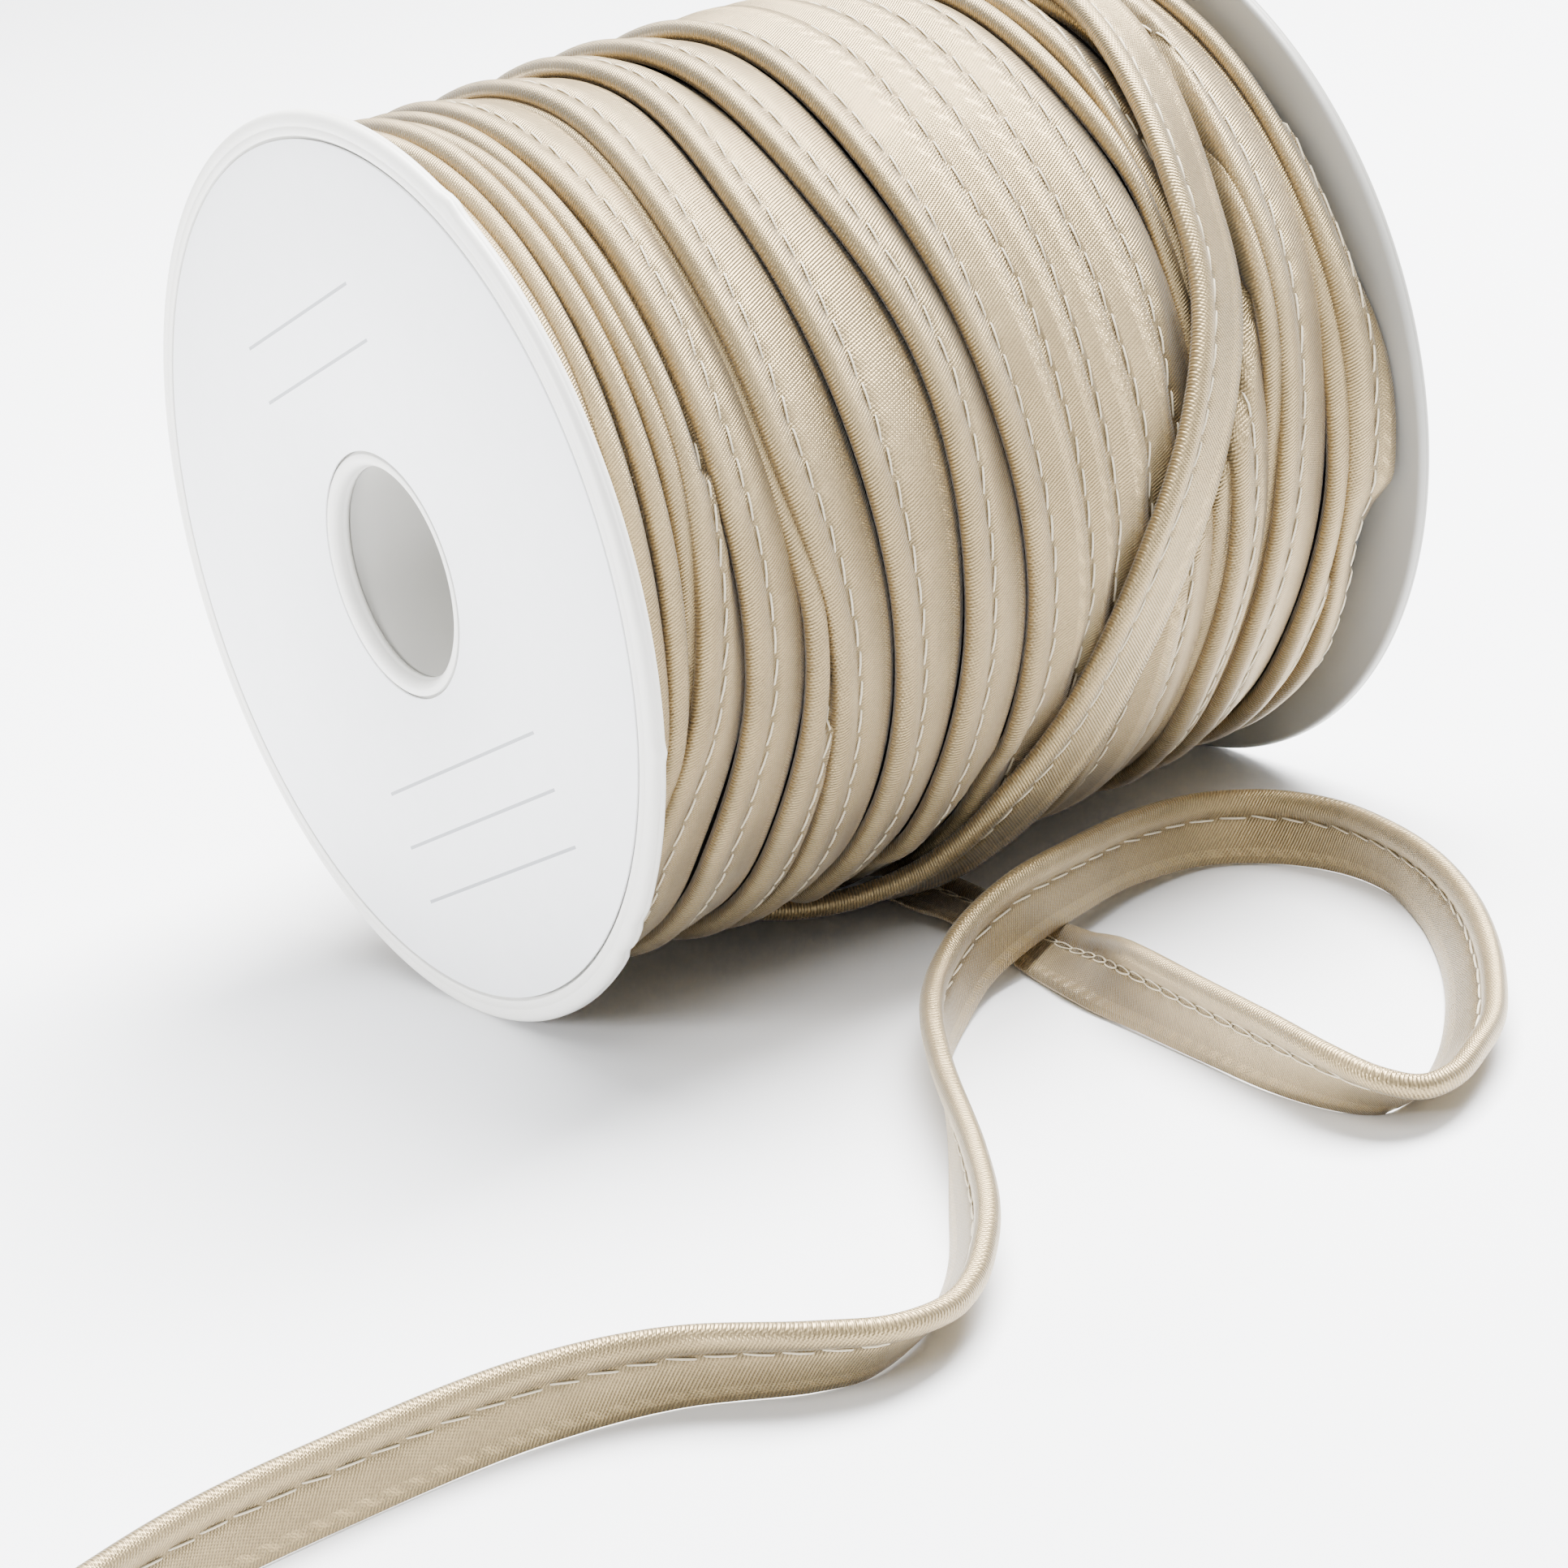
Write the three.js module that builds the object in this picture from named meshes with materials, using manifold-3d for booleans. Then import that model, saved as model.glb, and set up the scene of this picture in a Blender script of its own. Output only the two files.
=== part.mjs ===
// Roll of piping trim: a plastic spool lying on its flanges, wound full of satin piping,
// with one strand crossing the winding and a loose end that loops out over the floor.
// Millimetres, +Z up. The spool's axis runs along X, the floor is z = 0.
import * as THREE from "three";
import { mergeVertices } from "three/addons/utils/BufferGeometryUtils.js";
import Module from "manifold-3d";

const wasm = await Module();
wasm.setup();

// Spool
const SPOOL_LENGTH = 122;
const FLANGE_RADIUS = 60;
const FLANGE_THICKNESS = 2.1;
const LABEL_RECESS = 0.6;
const RIM_WIDTH = 3.1;
const BORE_RADIUS = 14;
const MOUTH_RADIUS = 15.2;
const HUB_RADIUS = 16;
const CORE_RADIUS = 16;
const FOOT_HALF_WIDTH = 4;
const GAP = 0.3;
const FLANGE_STEPS = 64;
const CORE_STEPS = 32;

// Label
const LABEL_RADIUS = 56.5;
const LABEL_HOLE_RADIUS = 16.4;
const LABEL_THICKNESS = 0.3;

// Piping
const BEAD_RADIUS = 1.5;
const TRIM_WIDTH = 10;
const TAPE_THICKNESS = 0.6;
const TAPE_REACH = TRIM_WIDTH - BEAD_RADIUS - 0.1;

// Winding
const WINDING_HALF_LENGTH = SPOOL_LENGTH / 2 - FLANGE_THICKNESS - GAP;
const FACET_ROOM = 0.1;
const WINDING_INNER_RADIUS = CORE_RADIUS + GAP + FACET_ROOM;
const WINDING_STEPS = 48;
const VALLEY_DEPTH = 1.9;
const TAPE_DEPTH = 0.8;
const LEAST_SPACING = 0.16;

const AXIS_HEIGHT = Math.sqrt(FLANGE_RADIUS ** 2 - FOOT_HALF_WIDTH ** 2);

// Height of the bead tops over the spool's axis, as pairs of x and radius.
const ENVELOPE = [
  [-58.6, 55.6], [-49, 56.4], [-42, 56.4], [-33, 57.2], [-20, 57.9], [-8, 58.6],
  [5, 58.6], [19, 58.3], [33, 57.7], [48, 56.6], [53, 56.2], [56, 55.4], [58.6, 54.6],
];

// Height by which the last turn stands up against the far flange, as pairs of angle
// and height; it comes in over the last millimetres before the flange.
const FLARE = [
  [-180, 0], [-55, 0], [-43, 0.9], [-35, 0], [-29, -0.4], [-23, -1.1], [-17, 0.8], [-12, 3.9],
  [-4, 4.3], [6, 4.2], [10, 3.6], [14, 2.8], [22, 1.4], [34, 0.3], [45, 0], [180, 0],
];

// Where each turn's left edge lies, at these angles round the spool.
// Angle 0 faces -Y and 90 faces up; 200 stands for the whole back.
const ANGLES = [-40, -10, 20, 50, 80, 200];

// kind: full shows bead, seam and tape; slim shows little but its bead;
// tucked has its bead under the tape of the turn to its left.
const TURNS = [
  { kind: "slim", x: [-58.4, -58.4, -58.3, -57.9, -57.6, -58.1] },
  { kind: "slim", x: [-58.2, -58.0, -56.7, -55.0, -54.8, -55.2] },
  { kind: "slim", x: [-58.0, -55.3, -53.0, -52.0, -51.2, -52.0] },
  { kind: "slim", x: [-57.8, -52.0, -49.8, -48.8, -48.4, -49.0] },
  { kind: "full", x: [-57.6, -51.7, -47.6, -46.8, -46.6, -46.6] },
  { kind: "full", x: [-47.7, -43.9, -43.5, -43.0, -42.7, -41.6] },
  { kind: "slim", x: [-37.7, -35.3, -35.6, -35.3, -33.5, -34.4] },
  { kind: "full", x: [-31.7, -32.3, -35.3, -35.0, -33.2, -31.8] },
  { kind: "full", x: [-22.7, -22.7, -24.3, -25.3, -22.9, -23.4] },
  { kind: "full", x: [-14.0, -12.3, -11.9, -15.0, -15.0, -14.2] },
  { kind: "full", x: [-4.3, -2.8, -4.0, -5.9, -5.3, -5.0] },
  { kind: "tucked", x: [4.4, 5.7, 4.7, 3.6, 5.2, 4.6] },
  { kind: "tucked", x: [9.8, 10.3, 9.7, 9.7, 11.0, 10.6] },
  { kind: "tucked", x: [13.9, 16.3, 15.7, 15.3, 16.4, 16.4] },
  { kind: "tucked", x: [20.3, 22.3, 22.0, 21.3, 22.1, 22.0] },
  { kind: "slim", x: [27.2, 28.5, 29.2, 27.5, 27.6, 27.6] },
  { kind: "slim", x: [27.4, 29.4, 30.7, 31.2, 31.6, 31.4] },
  { kind: "full", x: [27.7, 30.3, 32.2, 38.9, 39.6, 36.2] },
  { kind: "slim", x: [34.4, 37.5, 40.3, 43.8, 44.6, 43.2] },
  { kind: "full", x: [34.8, 37.8, 42.7, 44.2, 45.2, 44.0] },
  { kind: "slim", x: [44.7, 47.3, 51.3, 53.4, 53.2, 52.0] },
  { kind: "full", x: [50.0, 49.9, 52.0, 53.8, 54.0, 53.2] },
];
const WINDING_END = [57.6, 58.3, 58.0, 57.4, 57.4, 57.6];

// The strand that crosses the winding: angle, x of its bead, and how far its bead
// and its tape's edge lie over the bead tops around it.
const CROSSING = [
  { angle: -84, x: -31.5, bead: -3.5, edge: -3.8 },
  { angle: -78, x: -26.0, bead: -1.8, edge: -0.8 },
  { angle: -72, x: -20.6, bead: 0.0, edge: 1.1 },
  { angle: -66, x: -15.4, bead: 0.9, edge: 2.1 },
  { angle: -58, x: -10.0, bead: 1.2, edge: 3.0 },
  { angle: -50, x: -6.3, bead: 1.1, edge: 2.7 },
  { angle: -42, x: -2.6, bead: 0.8, edge: 2.4 },
  { angle: -33, x: 2.4, bead: 0.6, edge: 1.8 },
  { angle: -25, x: 6.6, bead: 0.4, edge: 0.6 },
  { angle: -10, x: 14.6, bead: 0.4, edge: -0.3 },
  { angle: 5, x: 23.8, bead: 0.4, edge: -1.6 },
  { angle: 20, x: 30.6, bead: 0.4, edge: -2.3 },
  { angle: 35, x: 33.4, bead: 0.5, edge: -2.2 },
  { angle: 50, x: 36.6, bead: 0.4, edge: -1.9 },
  { angle: 65, x: 39.8, bead: 0.1, edge: -1.7 },
  { angle: 80, x: 42.2, bead: -0.6, edge: -2.0 },
  { angle: 95, x: 44.0, bead: -1.8, edge: -2.6 },
  { angle: 110, x: 45.2, bead: -4.2, edge: -4.6 },
];
const CROSSING_STEPS = 40;

// The loose end: its bead's centre and its tape's free edge, from under the winding
// round the loop and out over the floor.
const LOOSE_END = [
  { bead: [2.0, -17, 1.6], edge: [-6.2, -17.5, 1.9] },
  { bead: [1.3, -26, 1.6], edge: [-6.9, -26, 2.1] },
  { bead: [0.5, -35, 1.7], edge: [-7.6, -35, 2.8] },
  { bead: [-0.3, -45, 1.9], edge: [-8.4, -44.4, 2.0] },
  { bead: [-1.9, -57, 2.9], edge: [-9.6, -54.9, 0.5] },
  { bead: [-4.9, -67, 5.6], edge: [-11.1, -64.6, 0.5] },
  { bead: [-8.3, -76.5, 7.8], edge: [-12.1, -75.0, 0.4] },
  { bead: [-11.6, -93.5, 8.6], edge: [-13.5, -93.2, 0.4] },
  { bead: [-13.8, -108.5, 8.8], edge: [-14.4, -108.5, 0.4] },
  { bead: [-15.1, -121.0, 8.3], edge: [-12.9, -119.5, 0.4] },
  { bead: [-13.6, -128.3, 6.7], edge: [-10.5, -123.6, 0.4] },
  { bead: [-10.2, -131.2, 5.3], edge: [-9.0, -124.3, 0.4] },
  { bead: [-5.2, -131.0, 4.9], edge: [-6.6, -124.0, 0.4] },
  { bead: [1.7, -127.6, 5.2], edge: [-2.0, -121.7, 0.4] },
  { bead: [8.6, -122.6, 5.1], edge: [4.2, -117.2, 0.4] },
  { bead: [15.8, -114.9, 5.9], edge: [11.3, -110.5, 0.4] },
  { bead: [22.3, -106.2, 6.9], edge: [18.0, -102.9, 0.4] },
  { bead: [28.7, -95.3, 7.7], edge: [25.2, -93.2, 0.4] },
  { bead: [33.5, -83.4, 8.5], edge: [31.5, -82.4, 0.4] },
  { bead: [36.5, -70.9, 8.8], edge: [36.2, -70.8, 0.4] },
  { bead: [37.5, -59.8, 8.8], edge: [37.1, -60.0, 0.4] },
  { bead: [35.2, -49.9, 8.8], edge: [34.3, -50.2, 0.5] },
  { bead: [28.4, -43.8, 9.3], edge: [27.9, -43.8, 0.9] },
  { bead: [16.6, -44.6, 10.8], edge: [15.6, -44.6, 2.5] },
  { bead: [3.2, -49.0, 12.1], edge: [2.6, -49.8, 3.9] },
  { bead: [-8.9, -52.6, 12.3], edge: [-7.8, -54.0, 4.1] },
  { bead: [-18.1, -55.3, 10.6], edge: [-15.9, -55.9, 2.5] },
  { bead: [-26.2, -60.4, 8.9], edge: [-24.6, -61.2, 0.7] },
  { bead: [-34.9, -70.1, 8.8], edge: [-34.4, -70.6, 0.4] },
  { bead: [-45.0, -86.2, 8.8], edge: [-45.0, -85.9, 0.4] },
  { bead: [-55.8, -107.2, 7.9], edge: [-58.8, -105.3, 0.4] },
  { bead: [-63.3, -119.9, 7.1], edge: [-67.1, -116.6, 0.4] },
  { bead: [-69.1, -127.1, 6.5], edge: [-72.9, -122.8, 0.4] },
  { bead: [-74.6, -132.3, 5.9], edge: [-78.3, -127.2, 0.4] },
  { bead: [-80.6, -136.0, 6.1], edge: [-83.0, -130.4, 0.4] },
  { bead: [-88.6, -137.0, 7.2], edge: [-89.0, -132.2, 0.4] },
  { bead: [-96.0, -133.3, 8.2], edge: [-94.7, -130.6, 0.4] },
  { bead: [-107.5, -122.6, 8.7], edge: [-106.9, -121.8, 0.4] },
  { bead: [-121.5, -116.9, 8.8], edge: [-121.5, -117.4, 0.4] },
  { bead: [-145.1, -115.8, 8.7], edge: [-144.9, -116.8, 0.4] },
  { bead: [-162.9, -117.6, 8.8], edge: [-162.8, -118.4, 0.4] },
  { bead: [-184.0, -124.0, 8.8], edge: [-184.2, -124.0, 0.4] },
];
const LOOSE_STEPS = 78;

// Section of the piping, across the tape from the bead's centre (a) and through it (b).
const STRIP_SECTION = [
  [TAPE_REACH, -TAPE_THICKNESS / 2],
  [TAPE_REACH, TAPE_THICKNESS / 2],
  [BEAD_RADIUS, TAPE_THICKNESS / 2],
  ...[60, 105, 150, 180, 210, 255, 300].map((degrees) => {
    const angle = THREE.MathUtils.degToRad(degrees);
    return [BEAD_RADIUS * Math.cos(angle), BEAD_RADIUS * Math.sin(angle)];
  }),
  [BEAD_RADIUS, -TAPE_THICKNESS / 2],
];

// Value of a table of pairs at a place, in straight lines between its rows.
function alongTable(table, place) {
  const last = table.length - 1;
  const next = table.findIndex(([at]) => at >= place);
  if (next === 0) return table[0][1];
  if (next < 0) return table[last][1];
  const [x0, v0] = table[next - 1];
  const [x1, v1] = table[next];
  return v0 + ((v1 - v0) * (place - x0)) / (x1 - x0);
}

// How far the crossing strand presses the turns down at a place: beside its bead, and
// under its tape as far as the tape's free edge.
function pressed(x, degrees) {
  const row = (key, at) => alongTable(CROSSING.map((point) => [point.angle, point[key]]), at);
  const arc = THREE.MathUtils.degToRad(8) * FLANGE_RADIUS;
  const lean = Math.atan((row("x", degrees + 4) - row("x", degrees - 4)) / arc);
  const across = (x - row("x", degrees)) * Math.cos(lean);
  const below = Math.max(0.5, 0.9 - row("edge", degrees));
  const share = THREE.MathUtils.clamp(across / 8, 0, 1);
  const reach =
    THREE.MathUtils.smoothstep(across, -6, -1) *
    (1 - THREE.MathUtils.smoothstep(across, 8.4, 9.2));
  const shown =
    THREE.MathUtils.smoothstep(degrees, -82, -74) *
    (1 - THREE.MathUtils.smoothstep(degrees, 88, 104));
  return (1.5 * (1 - share) + below * share) * reach * shown;
}

// Radius of the bead tops at a place on the winding.
function topsAt(x, degrees) {
  const angle = degrees > 180 ? degrees - 360 : degrees;
  const flared = THREE.MathUtils.clamp((x - 49.5) / 7.5, 0, 1);
  return alongTable(ENVELOPE, x) + alongTable(FLARE, angle) * flared - pressed(x, angle);
}

// Value at any angle of a row of values given at ANGLES, as one smooth closed curve.
function roundTurn(values, degrees) {
  const count = ANGLES.length;
  const angle = (i) => ANGLES[((i % count) + count) % count] + 360 * Math.floor(i / count);
  const value = (i) => values[((i % count) + count) % count];
  const slope = (i) => (value(i + 1) - value(i - 1)) / (angle(i + 1) - angle(i - 1));
  const place = ANGLES[0] + THREE.MathUtils.euclideanModulo(degrees - ANGLES[0], 360);
  let i = 0;
  while (angle(i + 1) <= place) i += 1;
  const span = angle(i + 1) - angle(i);
  const t = (place - angle(i)) / span;
  const s = 1 - t;
  return (
    value(i) * (1 + 2 * t) * s * s +
    value(i + 1) * (1 + 2 * s) * t * t +
    span * t * s * (slope(i) * s - slope(i + 1) * t)
  );
}

// Point at an angle and radius round the spool's axis.
function roundAxis(x, radius, degrees) {
  const angle = THREE.MathUtils.degToRad(degrees);
  return new THREE.Vector3(
    x,
    -radius * Math.cos(angle),
    AXIS_HEIGHT + radius * Math.sin(angle),
  );
}

// Closed surface through rings of points. Rings close on themselves; the row of rings
// closes too when looped, and is capped at both ends when not.
function surfaceThrough(rings, looped) {
  const size = rings[0].length;
  const count = rings.length;
  const positions = rings.flat().flatMap((p) => [p.x, p.y, p.z]);
  const index = [];
  for (let i = 0; i < (looped ? count : count - 1); i += 1) {
    for (let j = 0; j < size; j += 1) {
      const a = i * size + j;
      const b = i * size + ((j + 1) % size);
      const c = ((i + 1) % count) * size + j;
      const d = ((i + 1) % count) * size + ((j + 1) % size);
      index.push(a, b, c, b, d, c);
    }
  }
  for (let j = 1; !looped && j < size - 1; j += 1) {
    const end = (count - 1) * size;
    index.push(0, j + 1, j, end, end + j, end + j + 1);
  }
  const surface = new THREE.BufferGeometry();
  surface.setAttribute("position", new THREE.Float32BufferAttribute(positions, 3));
  surface.setIndex(index);
  return surface;
}

// Solid of a closed geometry, for cutting and joining.
function solidOf(geometry) {
  const plain = geometry.clone();
  plain.deleteAttribute("normal");
  plain.deleteAttribute("uv");
  const merged = mergeVertices(plain, 1e-4);
  return new wasm.Manifold(
    new wasm.Mesh({
      numProp: 3,
      vertProperties: new Float32Array(merged.attributes.position.array),
      triVerts: new Uint32Array(merged.index.array),
    }),
  );
}

// Geometry of a solid.
function geometryOf(solid) {
  const mesh = solid.getMesh();
  const geometry = new THREE.BufferGeometry();
  geometry.setAttribute("position", new THREE.BufferAttribute(mesh.vertProperties, 3));
  geometry.setIndex(new THREE.BufferAttribute(mesh.triVerts, 1));
  return geometry;
}

// Profile of pairs of x and radius, turned round the spool's axis.
function turned(profile, steps) {
  const closed = [...profile, profile[0]];
  const points = closed.map(([x, radius]) => new THREE.Vector2(radius, x));
  const geometry = new THREE.LatheGeometry(points, steps);
  geometry.rotateZ(-Math.PI / 2);
  geometry.translate(0, 0, AXIS_HEIGHT);
  return geometry;
}

// Flange with a raised rim, a sunk label face and a countersunk bore, its foot cut flat.
// side is -1 for the near flange and 1 for the far one.
function flange(side) {
  const outer = SPOOL_LENGTH / 2;
  const inner = outer - FLANGE_THICKNESS;
  const recess = outer - LABEL_RECESS;
  const rim = FLANGE_RADIUS - RIM_WIDTH;
  const profile = [
    [inner, BORE_RADIUS],
    [outer - 1.5, BORE_RADIUS],
    [outer - 0.4, BORE_RADIUS + 0.5],
    [outer, MOUTH_RADIUS],
    [outer, HUB_RADIUS],
    [recess, HUB_RADIUS],
    [recess, rim],
    [outer, rim + 0.3],
    [outer, FLANGE_RADIUS - 0.9],
    [outer - 0.35, FLANGE_RADIUS - 0.25],
    [outer - 0.9, FLANGE_RADIUS],
    [inner + 0.4, FLANGE_RADIUS],
    [inner, FLANGE_RADIUS - 0.5],
  ].map(([x, radius]) => [side * x, radius]);
  if (side > 0) profile.reverse();
  const disc = solidOf(turned(profile, FLANGE_STEPS));
  const floor = new THREE.BoxGeometry(20, 60, 20);
  floor.translate(side * outer, 0, -10);
  return geometryOf(disc.subtract(solidOf(floor)));
}

// Tube between the flanges.
function coreTube() {
  const end = SPOOL_LENGTH / 2 - FLANGE_THICKNESS - GAP;
  return turned(
    [
      [end, BORE_RADIUS],
      [-end, BORE_RADIUS],
      [-end, CORE_RADIUS],
      [end, CORE_RADIUS],
    ],
    CORE_STEPS,
  );
}

// Thin paper disc in the near flange's sunk face.
function label() {
  const face = -SPOOL_LENGTH / 2;
  return turned(
    [
      [face, LABEL_HOLE_RADIUS],
      [face, LABEL_RADIUS],
      [face + LABEL_THICKNESS, LABEL_RADIUS],
      [face + LABEL_THICKNESS, LABEL_HOLE_RADIUS],
    ],
    FLANGE_STEPS,
  );
}

// Outline of the winding at an angle, from the near end to the far end.
function windingProfile(degrees) {
  const edges = [...TURNS.map((turn) => roundTurn(turn.x, degrees)), roundTurn(WINDING_END, degrees)];
  for (let k = 1; k < edges.length; k += 1) {
    edges[k] = Math.max(edges[k], edges[k - 1] + LEAST_SPACING);
  }
  const profile = [];
  const add = (x, depth) => profile.push([x, topsAt(x, degrees) - depth]);
  TURNS.forEach(({ kind }, k) => {
    const width = edges[k + 1] - edges[k];
    const sunk = 1.9 * (1 - THREE.MathUtils.smoothstep(width, 0.2, 2.8));
    const bead = edges[k] + Math.min(BEAD_RADIUS, width / 2);
    const nextTucked = TURNS[k + 1]?.kind === "tucked";
    if (kind === "tucked") {
      add(edges[k] + 0.05, TAPE_DEPTH);
      add(edges[k] + 0.35 * width, TAPE_DEPTH + 0.1);
    } else {
      add(edges[k], VALLEY_DEPTH);
      add(bead, sunk);
    }
    if (kind === "slim") return;
    if (kind === "full") add(edges[k] + Math.min(3.2, 0.55 * width), TAPE_DEPTH + 0.2 + sunk);
    add(edges[k + 1] - 0.06, nextTucked ? 0.2 : TAPE_DEPTH + 0.1 + sunk);
  });
  return profile;
}

// The winding: its ridged outside, plain ends and the hole that fits over the core.
function windingBody() {
  const rings = Array.from({ length: WINDING_STEPS }, (_, i) => {
    const degrees = (360 * i) / WINDING_STEPS;
    const outline = [
      [-WINDING_HALF_LENGTH, WINDING_INNER_RADIUS],
      [-WINDING_HALF_LENGTH, ENVELOPE[0][1] - VALLEY_DEPTH],
      ...windingProfile(degrees),
      [WINDING_HALF_LENGTH, ENVELOPE[ENVELOPE.length - 1][1] - VALLEY_DEPTH],
      [WINDING_HALF_LENGTH, WINDING_INNER_RADIUS],
    ];
    return outline.map(([x, radius]) => roundAxis(x, radius, degrees));
  });
  return surfaceThrough(rings, true);
}

// Piping swept along a line of bead centres and a line of tape edges.
function pipingStrip(beads, edges, steps) {
  const beadLine = new THREE.CatmullRomCurve3(beads);
  const edgeLine = new THREE.CatmullRomCurve3(edges);
  const rings = Array.from({ length: steps + 1 }, (_, i) => {
    const t = i / steps;
    const bead = beadLine.getPoint(t);
    const along = beadLine.getTangent(t).add(edgeLine.getTangent(t)).normalize();
    const across = edgeLine.getPoint(t).sub(bead);
    across.addScaledVector(along, -across.dot(along)).normalize();
    const through = new THREE.Vector3().crossVectors(along, across);
    return STRIP_SECTION.map(([a, b]) =>
      bead.clone().addScaledVector(across, a).addScaledVector(through, b),
    );
  });
  return surfaceThrough(rings, false);
}

// The strand over the winding: its tape lies towards the far flange, square to its run.
function crossingStrand() {
  const over = (x, lift, degrees) => roundAxis(x, alongTable(ENVELOPE, x) + lift, degrees);
  const beads = CROSSING.map((row) => over(row.x, row.bead, row.angle));
  const edges = CROSSING.map((row, i) => {
    const before = CROSSING[Math.max(i - 1, 0)];
    const after = CROSSING[Math.min(i + 1, CROSSING.length - 1)];
    const arc = THREE.MathUtils.degToRad(after.angle - before.angle) * FLANGE_RADIUS;
    const lean = Math.atan2(after.x - before.x, arc);
    const turn = THREE.MathUtils.radToDeg((TAPE_REACH * Math.sin(lean)) / FLANGE_RADIUS);
    return over(row.x + TAPE_REACH * Math.cos(lean), row.edge, row.angle - turn);
  });
  return pipingStrip(beads, edges, CROSSING_STEPS);
}

// Winding and crossing strand as one solid, clear of the far flange.
function winding() {
  return geometryOf(solidOf(windingBody()).add(solidOf(crossingStrand())));
}

function looseEnd() {
  const line = (key) => LOOSE_END.map((row) => new THREE.Vector3(...row[key]));
  return pipingStrip(line("bead"), line("edge"), LOOSE_STEPS);
}

const roll = new THREE.Group();
roll.name = "roll_of_piping";

function addPiece(name, geometry, colour, roughness) {
  const material = new THREE.MeshStandardMaterial({ color: colour, roughness, metalness: 0 });
  const piece = new THREE.Mesh(geometry, material);
  piece.name = name;
  roll.add(piece);
}

addPiece("flange_near", flange(-1), "#f1f0ec", 0.45);
addPiece("flange_far", flange(1), "#f1f0ec", 0.45);
addPiece("core_tube", coreTube(), "#efeeea", 0.5);
addPiece("label", label(), "#f4f5f7", 0.7);
addPiece("winding", winding(), "#c3b09a", 0.4);
addPiece("loose_end", looseEnd(), "#c3b09a", 0.4);

export default roll;
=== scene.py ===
"""Roll of satin piping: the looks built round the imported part, laid out as an add-on."""

import bpy
import numpy as np
from mathutils import Matrix, Vector


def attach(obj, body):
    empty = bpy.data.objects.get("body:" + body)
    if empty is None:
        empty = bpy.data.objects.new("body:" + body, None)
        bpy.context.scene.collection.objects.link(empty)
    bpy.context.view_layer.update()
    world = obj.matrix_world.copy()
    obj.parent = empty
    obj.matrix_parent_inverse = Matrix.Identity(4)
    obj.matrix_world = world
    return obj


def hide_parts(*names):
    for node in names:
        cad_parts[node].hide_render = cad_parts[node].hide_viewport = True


bl_info = {
    "name": "Piping roll",
    "version": (1, 0, 0),
    "blender": (4, 5, 0),
    "location": "3D View > Sidebar > Piping roll",
    "description": "Dresses a spool wound with satin piping, its seams, label and loose end",
    "category": "Object",
}

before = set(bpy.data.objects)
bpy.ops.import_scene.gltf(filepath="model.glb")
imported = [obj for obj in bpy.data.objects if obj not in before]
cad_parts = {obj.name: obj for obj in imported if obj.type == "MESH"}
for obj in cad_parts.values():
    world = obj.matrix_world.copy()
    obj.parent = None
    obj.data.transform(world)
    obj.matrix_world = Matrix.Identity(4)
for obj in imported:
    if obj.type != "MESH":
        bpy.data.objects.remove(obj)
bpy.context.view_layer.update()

MM = 0.001
BODY = "root"

# Spool, in millimetres
SPOOL_LENGTH = 122.0
FLANGE_RADIUS = 60.0
FLANGE_THICKNESS = 2.1
LABEL_RECESS = 0.6
RIM_WIDTH = 3.1
BORE_RADIUS = 14.0
MOUTH_RADIUS = 15.2
HUB_RADIUS = 16.0
FOOT_HALF_WIDTH = 4.0
AXIS_HEIGHT = float(np.sqrt(FLANGE_RADIUS**2 - FOOT_HALF_WIDTH**2))
LABEL_RADIUS = 56.5
LABEL_HOLE_RADIUS = 16.4
LABEL_THICKNESS = 0.3
GAP = 0.3
WINDING_REACH = 58.45

# Piping, in millimetres: the bead's radius, the tape's free edge and its seam counted from
# the bead's centre, the thread's height on the tape, and the least height over the floor
BEAD = 1.5
TAPE_REACH = 8.4
SEAM = 2.3
SEAM_HEIGHT = 0.30
FLOOR_CLEARANCE = 0.03

# Stitches: half length as a share of the pitch, the low and high ends of how far each lies
# aside and how far it slants, the chain's thread beside the plain one's, and the width
# below which a turn's seam is hidden
STITCH_REACH = (0.42, 0.455)
STITCH_ASIDE = ((-0.05, 0.04), (0.05, 0.20))
CHAIN_THREAD = 0.85
LEAST_SEWN_WIDTH = 4.0

# Small moulding marks on the near rim: angle, height, and half width in degrees
RIM_MARKS = ((59.2, 0.55, 1.6), (-12.7, 0.45, 0.8), (-38.4, -0.45, 0.9), (-44.8, -0.5, 1.0))

# Height of the bead tops over the axis, by x
ENVELOPE = np.array([
    (-58.6, 55.6), (-49, 56.4), (-42, 56.4), (-33, 57.2), (-20, 57.9), (-8, 58.6),
    (5, 58.6), (19, 58.3), (33, 57.7), (48, 56.6), (53, 56.2), (56, 55.4), (58.6, 54.6),
])

# Height by which the last turn stands up against the far flange, by angle
FLARE = np.array([
    (-180, 0), (-55, 0), (-43, 0.9), (-35, 0), (-29, -0.4), (-23, -1.1), (-17, 0.8), (-12, 3.9),
    (-4, 4.3), (6, 4.2), (10, 3.6), (14, 2.8), (22, 1.4), (34, 0.3), (45, 0), (180, 0),
])

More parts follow.
